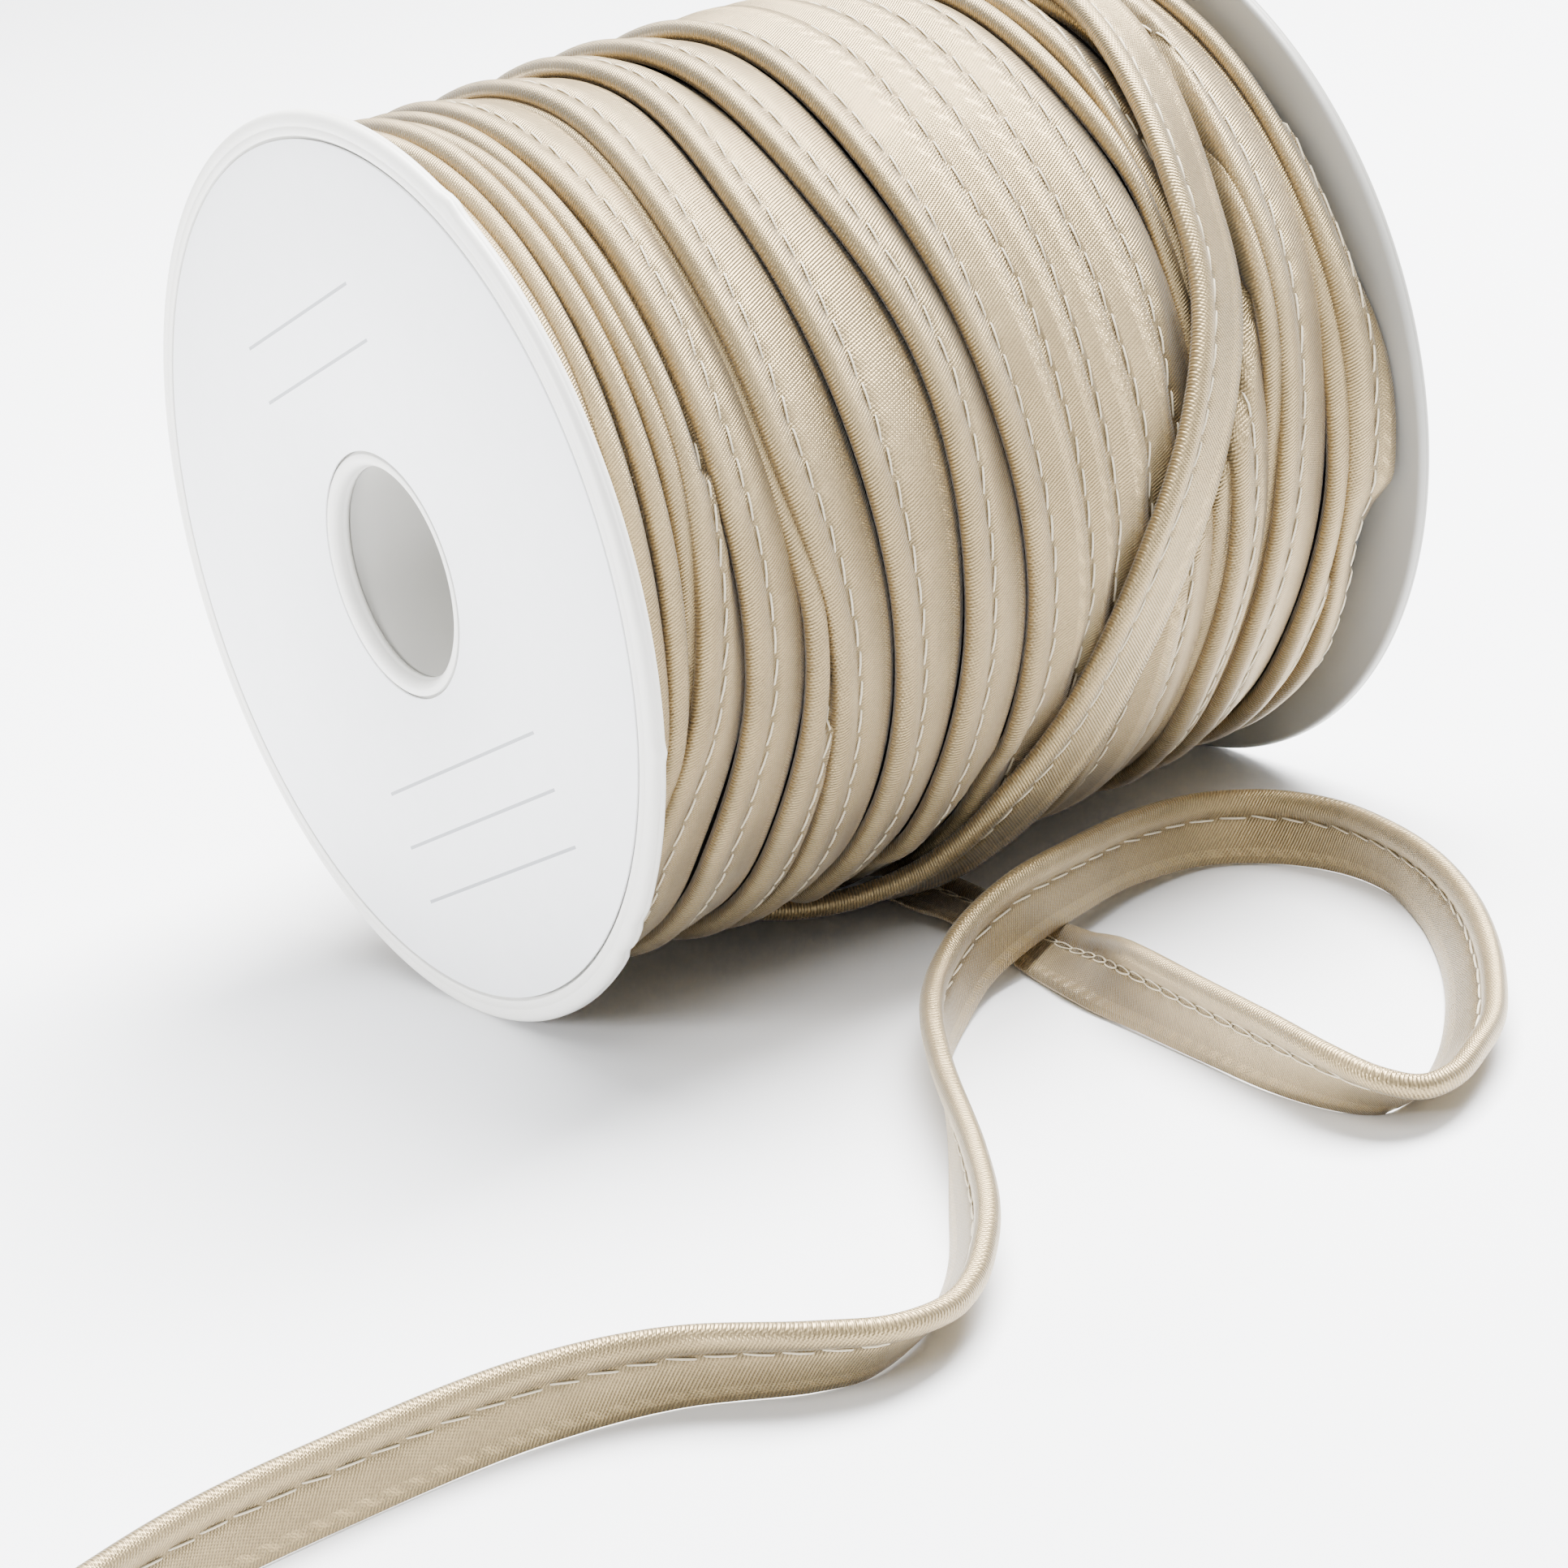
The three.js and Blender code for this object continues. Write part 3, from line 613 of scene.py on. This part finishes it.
def weave_group():
    """Satin weave read from the strip's own length and width.

    Ribs stand a pitch apart and nearly square to the run. Slanting floats and stretched
    noise break them up, and a band of dots runs beside the tape's free edge. Shade is
    clouded and lighter in the band, and dark in the seam's line as painted shade where
    the tape puckers. Pucker gathers the tape beside the seam once a stitch and ripples
    the selvedge.
    """
    tree, given, put = effect_group(
        "Satin weave",
        [("Vector", "NodeSocketVector", None), ("Pitch", "NodeSocketFloat", 0.00045),
         ("Seam place", "NodeSocketFloat", SEAM * MM),
         ("Stitch pitch", "NodeSocketFloat", 0.0042)],
        [("Height", "NodeSocketFloat"), ("Shade", "NodeSocketFloat"),
         ("Pucker", "NodeSocketFloat")],
    )
    vector, pitch = given.outputs["Vector"], given.outputs["Pitch"]
    parts = node(tree, "ShaderNodeSeparateXYZ")
    tree.links.new(vector, parts.inputs[0])
    along, over = parts.outputs[0], parts.outputs[1]
    calc = lambda *values: maths(tree, *values)
    wave = lambda value, turns: calc(
        "SINE", calc("MULTIPLY", calc("DIVIDE", value, pitch), turns * 2 * np.pi))
    ribs = wave(calc("MULTIPLY_ADD", over, RIB_SLANT, along), 1.0)
    floats = wave(calc("MULTIPLY_ADD", along, FLOAT_SLANT, over), FLOATS_PER_RIB)
    dots = calc("MULTIPLY", wave(along, DOTS_PER_RIB[0]), wave(over, DOTS_PER_RIB[1]))
    stretch = node(tree, "ShaderNodeVectorMath", operation="MULTIPLY")
    tree.links.new(vector, stretch.inputs[0])
    stretch.inputs[1].default_value = GRAIN_SCALES
    grain = noise(tree, stretch.outputs[0], 1.0, Detail=3.0, Roughness=0.6)
    cloud = noise(tree, vector, CLOUD_SCALE, Detail=2.0)
    from_band = calc("ABSOLUTE", calc("SUBTRACT", over, BAND_PLACE))
    band = calc("LESS_THAN", from_band, BAND_HALF_WIDTH)
    from_seam = calc("ABSOLUTE", calc("SUBTRACT", over, given.outputs["Seam place"]))
    near = lambda reach: calc(
        "SUBTRACT", 1.0, calc("MINIMUM", calc("DIVIDE", from_seam, reach), 1.0))

    woven = calc("MULTIPLY_ADD", ribs, 0.65, calc("MULTIPLY", grain, 0.7))
    woven = calc("MULTIPLY_ADD", calc("MULTIPLY", ribs, floats), 0.35, woven)
    woven = calc("MULTIPLY_ADD", calc("MULTIPLY", band, dots), 0.6, woven)
    tree.links.new(woven, put.inputs["Height"])

    shade = calc("MULTIPLY_ADD", grain, 0.30, calc("MULTIPLY", cloud, 0.24))
    shade = calc("MULTIPLY_ADD", woven, 0.22, shade)
    shade = calc("MULTIPLY_ADD", band, 0.16, shade)
    # painted shade: the seam's line darkened where the tape puckers
    shade = calc("MULTIPLY_ADD", near(PAINTED_SEAM_SHADE_REACH), -0.30, shade)
    tree.links.new(shade, put.inputs["Shade"])

    stitches = calc("DIVIDE", along, given.outputs["Stitch pitch"])
    gather = calc("SINE", calc("MULTIPLY", stitches, 2 * np.pi))
    beside = near(PUCKER_REACH)
    pucker = calc("MULTIPLY", calc("MULTIPLY", beside, beside), gather)
    selvedge = calc("MULTIPLY", calc("GREATER_THAN", over, SELVEDGE_START),
                    calc("SINE", calc("MULTIPLY", along, SELVEDGE_RIPPLE)))
    tree.links.new(calc("MULTIPLY_ADD", selvedge, 0.12, pucker), put.inputs["Pucker"])


def ruled_group():
    """Writing lines on the label: thin rules a pitch apart across slanted blocks, read
    from the label's own place on the flange."""
    tree, given, put = effect_group(
        "Writing lines",
        [("Vector", "NodeSocketVector", None)], [("Mask", "NodeSocketFloat")],
    )
    calc = lambda *values: maths(tree, *values)
    parts = node(tree, "ShaderNodeSeparateXYZ")
    tree.links.new(given.outputs["Vector"], parts.inputs[0])
    y, z = parts.outputs[1], calc("SUBTRACT", parts.outputs[2], AXIS_HEIGHT * MM)
    turned = lambda first, second: calc(
        "ADD", calc("MULTIPLY", y, first), calc("MULTIPLY", z, second))
    run, rise = turned(*RULE_RUN), turned(RULE_RUN[1], -RULE_RUN[0])
    blocks = []
    for half, first, last in RULE_BLOCKS:
        place = calc("DIVIDE", calc("SUBTRACT", rise, first), RULE_PITCH)
        away = calc("ABSOLUTE", calc("SUBTRACT", place, calc("ROUND", place)))
        line = calc("LESS_THAN", away, RULE_HALF_WIDTH)
        inside = calc("LESS_THAN", calc("ABSOLUTE", run), half)
        above = calc("GREATER_THAN", rise, first - RULE_MARGIN)
        below = calc("LESS_THAN", rise, last + RULE_MARGIN)
        blocks.append(calc("MULTIPLY", calc("MULTIPLY", line, inside),
                           calc("MULTIPLY", above, below)))
    tree.links.new(calc("MAXIMUM", *blocks), put.inputs["Mask"])


def colour_ramp(tree, factor, stops, places=(0.3, 0.7)):
    """Ramp between two colours at two places, driven by a socket."""
    ramp = node(tree, "ShaderNodeValToRGB")
    low, high = ramp.color_ramp.elements
    low.position, high.position = places
    low.color, high.color = ((*colour[:3], 1) for colour in stops)
    tree.links.new(factor, ramp.inputs[0])
    return ramp.outputs[0]


def shaded(colour, factor):
    """Colour made darker or lighter by a factor, or by one for each channel."""
    return np.array(colour[:3]) * factor


def bumped(tree, height, strength, distance, below=None):
    """Normal bumped by a height, laid over another bump where one is given."""
    made = node(tree, "ShaderNodeBump", Strength=strength, Distance=distance)
    tree.links.new(height, made.inputs["Height"])
    if below is not None:
        tree.links.new(below, made.inputs["Normal"])
    return made.outputs[0]


def blank_material(name):
    """Material with its node tree and its Principled shader, nothing else set."""
    material = bpy.data.materials.new(name)
    material.use_nodes = True
    return material, material.node_tree, material.node_tree.nodes["Principled BSDF"]


def satin_material(name, colour, pitch, stitch_pitch):
    """Satin: colour shaded by the weave, with painted shade in the seam's line, bumps from weave
    and puckers, soft sheen.
    """
    made, tree, shader = blank_material(name)
    uv = node(tree, "ShaderNodeUVMap", uv_map="weave")
    weave = node(tree, "ShaderNodeGroup", node_tree=bpy.data.node_groups["Satin weave"])
    weave.inputs["Pitch"].default_value = pitch
    weave.inputs["Stitch pitch"].default_value = stitch_pitch
    tree.links.new(uv.outputs[0], weave.inputs["Vector"])
    stops = shaded(colour, 0.55), np.minimum(shaded(colour, 1.16), 1)
    tint = colour_ramp(tree, weave.outputs["Shade"], stops, (0.18, 0.56))
    tree.links.new(tint, shader.inputs["Base Color"])
    fine = bumped(tree, weave.outputs["Height"], 0.70, 0.00008)
    broad = bumped(tree, weave.outputs["Pucker"], 0.55, 0.00016, fine)
    tree.links.new(broad, shader.inputs["Normal"])
    shader.inputs["Roughness"].default_value = 0.38
    shader.inputs["Metallic"].default_value = 0.78
    shader.inputs["Sheen Weight"].default_value = 0.18
    shader.inputs["Sheen Roughness"].default_value = 0.4
    shader.inputs["Sheen Tint"].default_value = (0.92, 0.96, 1.0, 1)
    return made


def thread_material(name, colour):
    """Sewing thread: fine noise in its colour and surface."""
    made, tree, shader = blank_material(name)
    place = node(tree, "ShaderNodeTexCoord").outputs["Object"]
    grain = noise(tree, place, 4200.0, Detail=2.0)
    tint = colour_ramp(tree, grain, (shaded(colour, 0.84), colour))
    tree.links.new(tint, shader.inputs["Base Color"])
    tree.links.new(bumped(tree, grain, 0.4, 0.00004), shader.inputs["Normal"])
    shader.inputs["Roughness"].default_value = 0.6
    return made


def plastic_material(name, colour):
    """Moulded plastic: faint mottling, soft gloss that varies, light moulding ripple."""
    made, tree, shader = blank_material(name)
    place = node(tree, "ShaderNodeTexCoord").outputs["Object"]
    mottle = noise(tree, place, 60.0, Detail=4.0)
    ripple = noise(tree, place, 700.0, Detail=2.0)
    tint = colour_ramp(tree, mottle, (shaded(colour, 0.955), colour))
    tree.links.new(tint, shader.inputs["Base Color"])
    rough = node(tree, "ShaderNodeMapRange")
    rough.inputs["To Min"].default_value = 0.34
    rough.inputs["To Max"].default_value = 0.50
    tree.links.new(mottle, rough.inputs["Value"])
    tree.links.new(rough.outputs[0], shader.inputs["Roughness"])
    tree.links.new(bumped(tree, ripple, 0.16, 0.0001), shader.inputs["Normal"])
    shader.inputs["Subsurface Weight"].default_value = 0.12
    shader.inputs["Subsurface Radius"].default_value = (0.002, 0.0018, 0.0015)
    return made


def paper_material(name, colour):
    """Coated paper: faint fibre mottling, thin grey writing lines, a soft shine."""
    made, tree, shader = blank_material(name)
    place = node(tree, "ShaderNodeTexCoord").outputs["Object"]
    fibre = noise(tree, place, 320.0, Detail=5.0, Roughness=0.65)
    tint = colour_ramp(tree, fibre, (shaded(colour, 0.97), colour))
    rules = node(tree, "ShaderNodeGroup", node_tree=bpy.data.node_groups["Writing lines"])
    tree.links.new(place, rules.inputs["Vector"])
    mix = node(tree, "ShaderNodeMix", data_type="RGBA")
    tree.links.new(rules.outputs["Mask"], mix.inputs["Factor"])
    tree.links.new(tint, mix.inputs[6])
    mix.inputs[7].default_value = RULE_COLOUR
    tree.links.new(mix.outputs[2], shader.inputs["Base Color"])
    tree.links.new(bumped(tree, fibre, 0.12, 0.00006), shader.inputs["Normal"])
    shader.inputs["Roughness"].default_value = 0.55
    return made


def material(name):
    """Finish by name, made once from the colours in the scene's settings."""
    if name in bpy.data.materials:
        return bpy.data.materials[name]
    colours = bpy.context.scene.roll_colours
    sizes = bpy.context.scene.roll_sizes
    if "Satin weave" not in bpy.data.node_groups:
        weave_group()
        ruled_group()
    pitches = sizes.weave_pitch, sizes.stitch_pitch
    maker, *values = {
        "satin": (satin_material, colours.satin, *pitches),
        # painted shade: the satin darkened for the layer below the turns
        "satin_deep": (satin_material, shaded(colours.satin, DEEP_PAINTED_SHADE), *pitches),
        "thread": (thread_material, colours.thread),
        "outer_plastic": (plastic_material, colours.plastic),
        # painted shade: the plastic darkened for the far flange and the core
        "inner_plastic": (plastic_material, shaded(colours.plastic, INNER_PAINTED_SHADE)),
        "ruled_paper": (paper_material, colours.paper),
    }[name]
    return maker(name, *values)


def turn_edges(degrees):
    """Left edges of all turns and the winding's end at each angle, kept in order."""
    edges = round_turn(TURN_EDGES, degrees)
    order = np.arange(len(edges))[:, None] * LEAST_SPACING
    wobble = 0.10 * np.sin(np.radians(degrees)[None] * 5 + order * 13)
    edges = edges + wobble * (np.abs(edges) < 55)
    return np.maximum.accumulate(edges - order, axis=0) + order


def turn_points(turns, degrees, a, b):
    """Places of section points on turns of the winding.

    Across, a point keeps its distance from the bead up to the seam, and beyond it the
    tape is spread to reach the next turn. In height the bead stands on the envelope,
    sunk where its neighbours leave it no room; from the seam the tape's middle line
    goes down under the next bead, or up over it where that turn is tucked under.
    """
    edges = turn_edges(degrees)
    k = np.asarray(turns)
    left, right = edges[k][:, :, None], edges[k + 1][:, :, None]
    width = right - left
    tucked = np.isin(k, TUCKED)[:, None, None]
    next_tucked = np.isin(k + 1, TUCKED)[:, None, None]
    last = (k == len(TURN_EDGES) - 2)[:, None, None]
    sunk = CROWDED_DEPTH * (1 - smooth(width, 0.2, 2.8)) * ~tucked
    centre = np.where(tucked, left - TUCK_SHIFT, left + np.minimum(BEAD, width / 2 + 0.3))
    spread = (right - centre - SEAM) / (TAPE_REACH - SEAM)
    longer = (right + 0.8 - centre - SEAM) / (TAPE_REACH - SEAM)
    stretch = np.where(next_tucked, spread, np.maximum(longer, 1.0))
    stretch = np.where(last, np.maximum(spread, 0.12), stretch)
    a, b = a[None, None, :], b[None, None, :]
    x = centre + np.minimum(a, SEAM) + np.maximum(a - SEAM, 0) * stretch
    x = np.clip(x, -WINDING_REACH, WINDING_REACH)
    bead_line = -BEAD - sunk - TUCK_DEPTH * tucked
    tape_line = -TAPE_DEPTH - sunk - 0.12 * smooth(x, centre + 3, right - 1)
    slope = -SLOPE_UNDER * smooth(x, centre + 3.0, right + 0.2)
    under = slope - STEP_UNDER * smooth(x, right - 0.6, right + 1.4)
    over = RISE_OVER * smooth(x, centre + SEAM + 0.4, right - 1.3)
    tape_line = tape_line + np.where(next_tucked, over, under)
    tape_line = tape_line - LAST_TAPE_DEPTH * last * smooth(x, centre + 2.2, centre + 4.5)
    blend = smooth(a, 0.7, SEAM)
    middle = bead_line * (1 - blend) + tape_line * blend
    angle = np.radians(degrees)[None, :, None]
    phase = k[:, None, None] * 1.7
    uneven = 0.10 * np.sin(3 * angle + phase) + 0.07 * np.sin(8 * angle + 2.3 * phase)
    radius = tops_at(x, degrees[None, :, None]) + middle + b + uneven
    return round_axis(x, radius, degrees[None, :, None]), width[..., 0]


def wind_turns(name, turns, steps, satin):
    """Turns of the winding as closed strips in one mesh. The weave keeps its own scale on
    a tape that is cut short over a tucked turn, and is counted from its free edge there."""
    degrees = np.arange(steps) * 360.0 / steps
    a, b = TURN_SECTION[:, 0], TURN_SECTION[:, 1]
    points, _ = turn_points(turns, degrees, a, b)
    count, rows, columns = points.shape[:3]
    faces = grid_faces(rows, columns, True, True)
    lengths = np.arange(rows + 1) * 2 * np.pi * MEAN_RADIUS / rows
    uv = strip_uv(faces, columns, lengths, np.concatenate([a, a[:1]]))
    uv = np.tile(uv[None], (count, 1, 1, 1))
    uv[..., 0] += (np.asarray(turns) * WEAVE_SHIFT)[:, None, None]
    edges = turn_edges(degrees).mean(axis=1) * MM
    seam, reach = SEAM * MM, TAPE_REACH * MM
    for i, k in enumerate(turns):
        if k + 1 in TUCKED:
            from_seam = edges[k] + (-TUCK_SHIFT if k in TUCKED else BEAD) * MM + seam
            share = (edges[k + 1] - from_seam) / (reach - seam)
            over = uv[i, ..., 1]
            uv[i, ..., 1] = np.where(over > seam, reach - (reach - over) * share, over)
    quads = copies(faces, count, rows * columns)
    flip = [0, 3, 2, 1]
    return make_piece(name, points, quads[:, flip], satin, uv.reshape(-1, 4, 2)[:, flip])


def crossing_lines(count):
    """Bead line and tape edge of the crossing strand, run from the top of the winding
    down to the floor; the tape lies square to the run, towards the far flange."""
    angle, x, bead, edge = CROSSING.T
    before = CROSSING[[0, *range(len(CROSSING) - 1)]]
    after = CROSSING[[*range(1, len(CROSSING)), -1]]
    arc = np.radians(after[:, 0] - before[:, 0]) * FLANGE_RADIUS
    lean = np.arctan2(after[:, 1] - before[:, 1], arc)
    turn = np.degrees(TAPE_REACH * np.sin(lean) / FLANGE_RADIUS)
    x_edge = x + TAPE_REACH * np.cos(lean)
    beads = round_axis(x, envelope(x) + bead, angle)
    edges = round_axis(x_edge, envelope(x_edge) + edge, angle - turn)
    return through_rows(beads[::-1], count), through_rows(edges[::-1], count)


def seam_line(beads, edges, side):
    """Line on a strip's face at the seam, with the direction that faces outwards."""
    _, across, through = frames_along(beads, edges)
    return beads + across * SEAM + through * (SEAM_HEIGHT * side), through * side


def dress(piece, slot, *nodes):
    """Rides the piece on the roll and hides what it stands for; slot is not used."""
    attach(piece, BODY)
    if nodes:
        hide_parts(*nodes)
    return piece


class ROLL_OT_camera(bpy.types.Operator):
    """Place the camera at the fitted viewing angle"""

    bl_idname = "roll.camera"
    bl_label = "Place camera"

    def execute(self, context):
        azimuth, elevation, roll = np.radians([CAMERA_AZIMUTH, CAMERA_ELEVATION, CAMERA_ROLL])
        look = Vector((
            np.sin(azimuth) * np.cos(elevation), np.cos(azimuth) * np.cos(elevation),
            -np.sin(elevation),
        ))
        level = look.cross(Vector((0, 0, 1))).normalized()
        upright = level.cross(look)
        right = level * np.cos(roll) + upright * np.sin(roll)
        up = upright * np.cos(roll) - level * np.sin(roll)
        data = bpy.data.cameras.new("camera")
        data.lens = CAMERA_LENS
        data.sensor_width = 36
        data.clip_start, data.clip_end = 0.01, 50
        camera = bpy.data.objects.new("camera", data)
        camera.matrix_world = Matrix.Translation(CAMERA_PLACE) @ Matrix(
            (right, up, -look)).transposed().to_4x4()
        context.scene.collection.objects.link(camera)
        context.scene.camera = camera
        return {"FINISHED"}


class ROLL_OT_loose_end(bpy.types.Operator):
    """Lay the loose end over the floor, with both its seams"""

    bl_idname = "roll.loose_end"
    bl_label = "Lay loose end"

    def execute(self, context):
        sizes = context.scene.roll_sizes
        beads = through_rows(LOOSE_END[:, :3], sizes.loose_steps)
        edges = through_rows(LOOSE_END[:, 3:], sizes.loose_steps)
        trim = dress(sweep_strip("loose_end_trim", beads, edges, material("satin")),
                     "satin_piping", "loose_end")
        pitch, radius = sizes.stitch_pitch / MM, sizes.thread_radius / MM
        thread = material("thread")
        front = straight_stitches(*seam_line(beads, edges, 1), pitch, radius, seed=11)
        seam = dress(stitch_mesh("loose_end_stitches", front, thread), "satin_piping")
        back = chain_stitches(*seam_line(beads, edges, -1), pitch, radius * CHAIN_THREAD)
        chain = dress(closed_loops("loose_end_chain", back, thread), "satin_piping")
        return {"FINISHED"}


class ROLL_OT_spool(bpy.types.Operator):
    """Turn the flanges, the core and the label"""

    bl_idname = "roll.spool"
    bl_label = "Turn spool"

    def execute(self, context):
        outer = SPOOL_LENGTH / 2
        inner = outer - FLANGE_THICKNESS
        recess = outer - LABEL_RECESS
        rim = FLANGE_RADIUS - RIM_WIDTH
        profile = np.array([
            (inner, BORE_RADIUS), (outer - 1.6, BORE_RADIUS), (outer - 1.45, BORE_RADIUS + 0.12),
            (outer - 1.2, BORE_RADIUS + 0.16), (outer - 0.7, BORE_RADIUS + 0.34),
            (outer - 0.3, BORE_RADIUS + 0.64), (outer - 0.08, MOUTH_RADIUS - 0.2),
            (outer, MOUTH_RADIUS), (outer, HUB_RADIUS - 0.08), (outer - 0.06, HUB_RADIUS),
            (recess, HUB_RADIUS), (recess, rim), (outer - 0.1, rim), (outer, rim + 0.1),
            (outer + 0.02, rim + 0.5), (outer - 0.02, rim + 1.1), (outer - 0.10, rim + 1.2),
            (outer - 0.02, rim + 1.3), (outer, rim + 1.8), (outer - 0.06, FLANGE_RADIUS - 0.75),
            (outer - 0.22, FLANGE_RADIUS - 0.42), (outer - 0.45, FLANGE_RADIUS - 0.17),
            (outer - 0.72, FLANGE_RADIUS - 0.04), (outer - 1.0, FLANGE_RADIUS),
            (outer - 1.08, FLANGE_RADIUS - 0.05), (outer - 1.16, FLANGE_RADIUS),
            (inner + 0.5, FLANGE_RADIUS - 0.02), (inner + 0.25, FLANGE_RADIUS - 0.12),
            (inner + 0.06, FLANGE_RADIUS - 0.35), (inner, FLANGE_RADIUS - 0.7),
        ])
        # Painted shade: the far flange and the core take the plastic darkened for the shade on
        # the far flange's inner face and in the bore
        shade_painted_plastic = material("inner_plastic")
        far = turned_piece("far_flange", profile[::-1], shade_painted_plastic)
        near = turned_piece(
            "near_flange", profile * (-1, 1), material("outer_plastic"), marks=RIM_MARKS)
        dress(near, "spool_plastic", "flange_near")
        dress(far, "spool_plastic", "flange_far")
        end = inner - GAP
        tube = [(-end, BORE_RADIUS), (-end, HUB_RADIUS), (end, HUB_RADIUS), (end, BORE_RADIUS)]
        core = turned_piece("core", tube, shade_painted_plastic, 192)
        dress(core, "spool_plastic", "core_tube")
        face = -outer
        back = face + LABEL_THICKNESS
        disc = [
            (face + 0.05, LABEL_HOLE_RADIUS), (face, LABEL_HOLE_RADIUS + 0.06),
            (face, LABEL_RADIUS - 0.06), (face + 0.05, LABEL_RADIUS), (back, LABEL_RADIUS),
            (back, LABEL_HOLE_RADIUS),
        ]
        label = turned_piece("end_label", disc[::-1], material("ruled_paper"))
        dress(label, "label_paper", "label")
        return {"FINISHED"}


class ROLL_OT_winding(bpy.types.Operator):
    """Wind the turns, the layer below them and the seams that show"""

    bl_idname = "roll.winding"
    bl_label = "Wind turns"

    def execute(self, context):
        sizes = context.scene.roll_sizes
        count = len(TURN_EDGES) - 1
        half = count // 2
        satin = material("satin")
        near = wind_turns("turns_near", range(half), sizes.turn_steps, satin)
        far = wind_turns("turns_far", range(half, count), sizes.turn_steps, satin)
        dress(near, "satin_piping", "winding")
        dress(far, "satin_piping")
        xs = np.linspace(-WINDING_REACH, WINDING_REACH, 60)
        layer = [(x, envelope(x) - LAYER_DEPTH) for x in xs]
        inner = [(WINDING_REACH, HUB_RADIUS + GAP), (-WINDING_REACH, HUB_RADIUS + GAP)]
        # Painted shade: the layer below the turns is the satin darkened to stand in for the
        # shade in the gaps between them
        barrel = turned_piece("layers_below", (layer + inner)[::-1], material("satin_deep"), 192)
        dress(barrel, "satin_piping")
        degrees = np.linspace(-180, 180, 721)
        across, height = np.array([SEAM]), np.array([SEAM_HEIGHT])
        line, width = turn_points(range(count), degrees, across, height)
        above, _ = turn_points(range(count), degrees, across, height + 1.0)
        out = unit(above - line)[:, :, 0]
        pitch, radius = sizes.stitch_pitch / MM, sizes.thread_radius / MM
        sewn = np.concatenate([
            straight_stitches(
                line[k, :, 0], out[k], pitch, radius, 20 + k, width[k] > LEAST_SEWN_WIDTH)
            for k in range(count)
        ])
        dress(stitch_mesh("turn_stitches", sewn, material("thread")), "satin_piping")
        return {"FINISHED"}


class ROLL_OT_crossing(bpy.types.Operator):
    """Lay the strand that crosses the winding, with its seam"""

    bl_idname = "roll.crossing"
    bl_label = "Lay crossing strand"

    def execute(self, context):
        sizes = context.scene.roll_sizes
        beads, edges = crossing_lines(360)
        dress(sweep_strip("crossing_strand", beads, edges, material("satin")), "satin_piping")
        pitch, radius = sizes.stitch_pitch / MM, sizes.thread_radius / MM
        sewn = straight_stitches(*seam_line(beads, edges, 1), pitch, radius, seed=7)
        dress(stitch_mesh("crossing_stitches", sewn, material("thread")), "satin_piping")
        return {"FINISHED"}


class ROLL_OT_stage(bpy.types.Operator):
    """Spread the pale floor and set the soft lights"""

    bl_idname = "roll.stage"
    bl_label = "Set stage"

    def execute(self, context):
        floor_finish, tree, shader = blank_material("floor")
        place = node(tree, "ShaderNodeTexCoord").outputs["Object"]
        tint = colour_ramp(tree, noise(tree, place, 3.0), FLOOR_COLOURS, (0.0, 1.0))
        tree.links.new(tint, shader.inputs["Base Color"])
        shader.inputs["Roughness"].default_value = 0.7
        side = np.linspace(-FLOOR_REACH, FLOOR_REACH, 9)
        x, y = np.meshgrid(side, side, indexing="ij")
        points = np.stack([x, y, 0 * x - FLOOR_DEPTH], axis=-1)
        faces = grid_faces(9, 9, False, False)[:, ::-1]
        floor = make_piece("floor", points, faces, floor_finish)
        world = bpy.data.worlds.new("studio")
        world.use_nodes = True
        sky = world.node_tree.nodes["Background"]
        sky.inputs["Color"].default_value = SKY_COLOUR
        sky.inputs["Strength"].default_value = SKY_STRENGTH
        context.scene.world = world
        for name, spot, target, size, power in LIGHTS:
            data = bpy.data.lights.new(name, "AREA")
            data.size, data.energy = size, power
            light = bpy.data.objects.new(name, data)
            direction = Vector(target) - Vector(spot)
            light.matrix_world = Matrix.Translation(spot) @ direction.to_track_quat(
                "-Z", "Y").to_matrix().to_4x4()
            light.visible_camera = False
            context.scene.collection.objects.link(light)
        return {"FINISHED"}


class ROLL_PT_panel(bpy.types.Panel):
    """Sizes, colours and steps of the piping roll"""

    bl_idname = "ROLL_PT_panel"
    bl_label = "Piping roll"
    bl_space_type = "VIEW_3D"
    bl_region_type = "UI"
    bl_category = "Piping roll"

    def draw(self, context):
        layout = self.layout
        for group in (context.scene.roll_sizes, context.scene.roll_colours):
            for name in group.__annotations__:
                layout.prop(group, name)
        for operator in OPERATORS:
            layout.operator(operator.bl_idname)


OPERATORS = (
    ROLL_OT_camera, ROLL_OT_loose_end, ROLL_OT_spool, ROLL_OT_winding, ROLL_OT_crossing,
    ROLL_OT_stage,
)
CLASSES = (RollSizes, RollColours, *OPERATORS, ROLL_PT_panel)


def register():
    """Adds the classes and the scene's settings."""
    for kind in CLASSES:
        bpy.utils.register_class(kind)
    bpy.types.Scene.roll_sizes = bpy.props.PointerProperty(type=RollSizes)
    bpy.types.Scene.roll_colours = bpy.props.PointerProperty(type=RollColours)


def unregister():
    """Takes them away again."""
    del bpy.types.Scene.roll_colours
    del bpy.types.Scene.roll_sizes
    for kind in reversed(CLASSES):
        bpy.utils.unregister_class(kind)


def main():
    """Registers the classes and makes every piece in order."""
    register()
    bpy.ops.roll.camera()
    bpy.ops.roll.loose_end()
    bpy.ops.roll.spool()
    bpy.ops.roll.winding()
    bpy.ops.roll.crossing()
    bpy.ops.roll.stage()


if __name__ == "__main__":
    main()
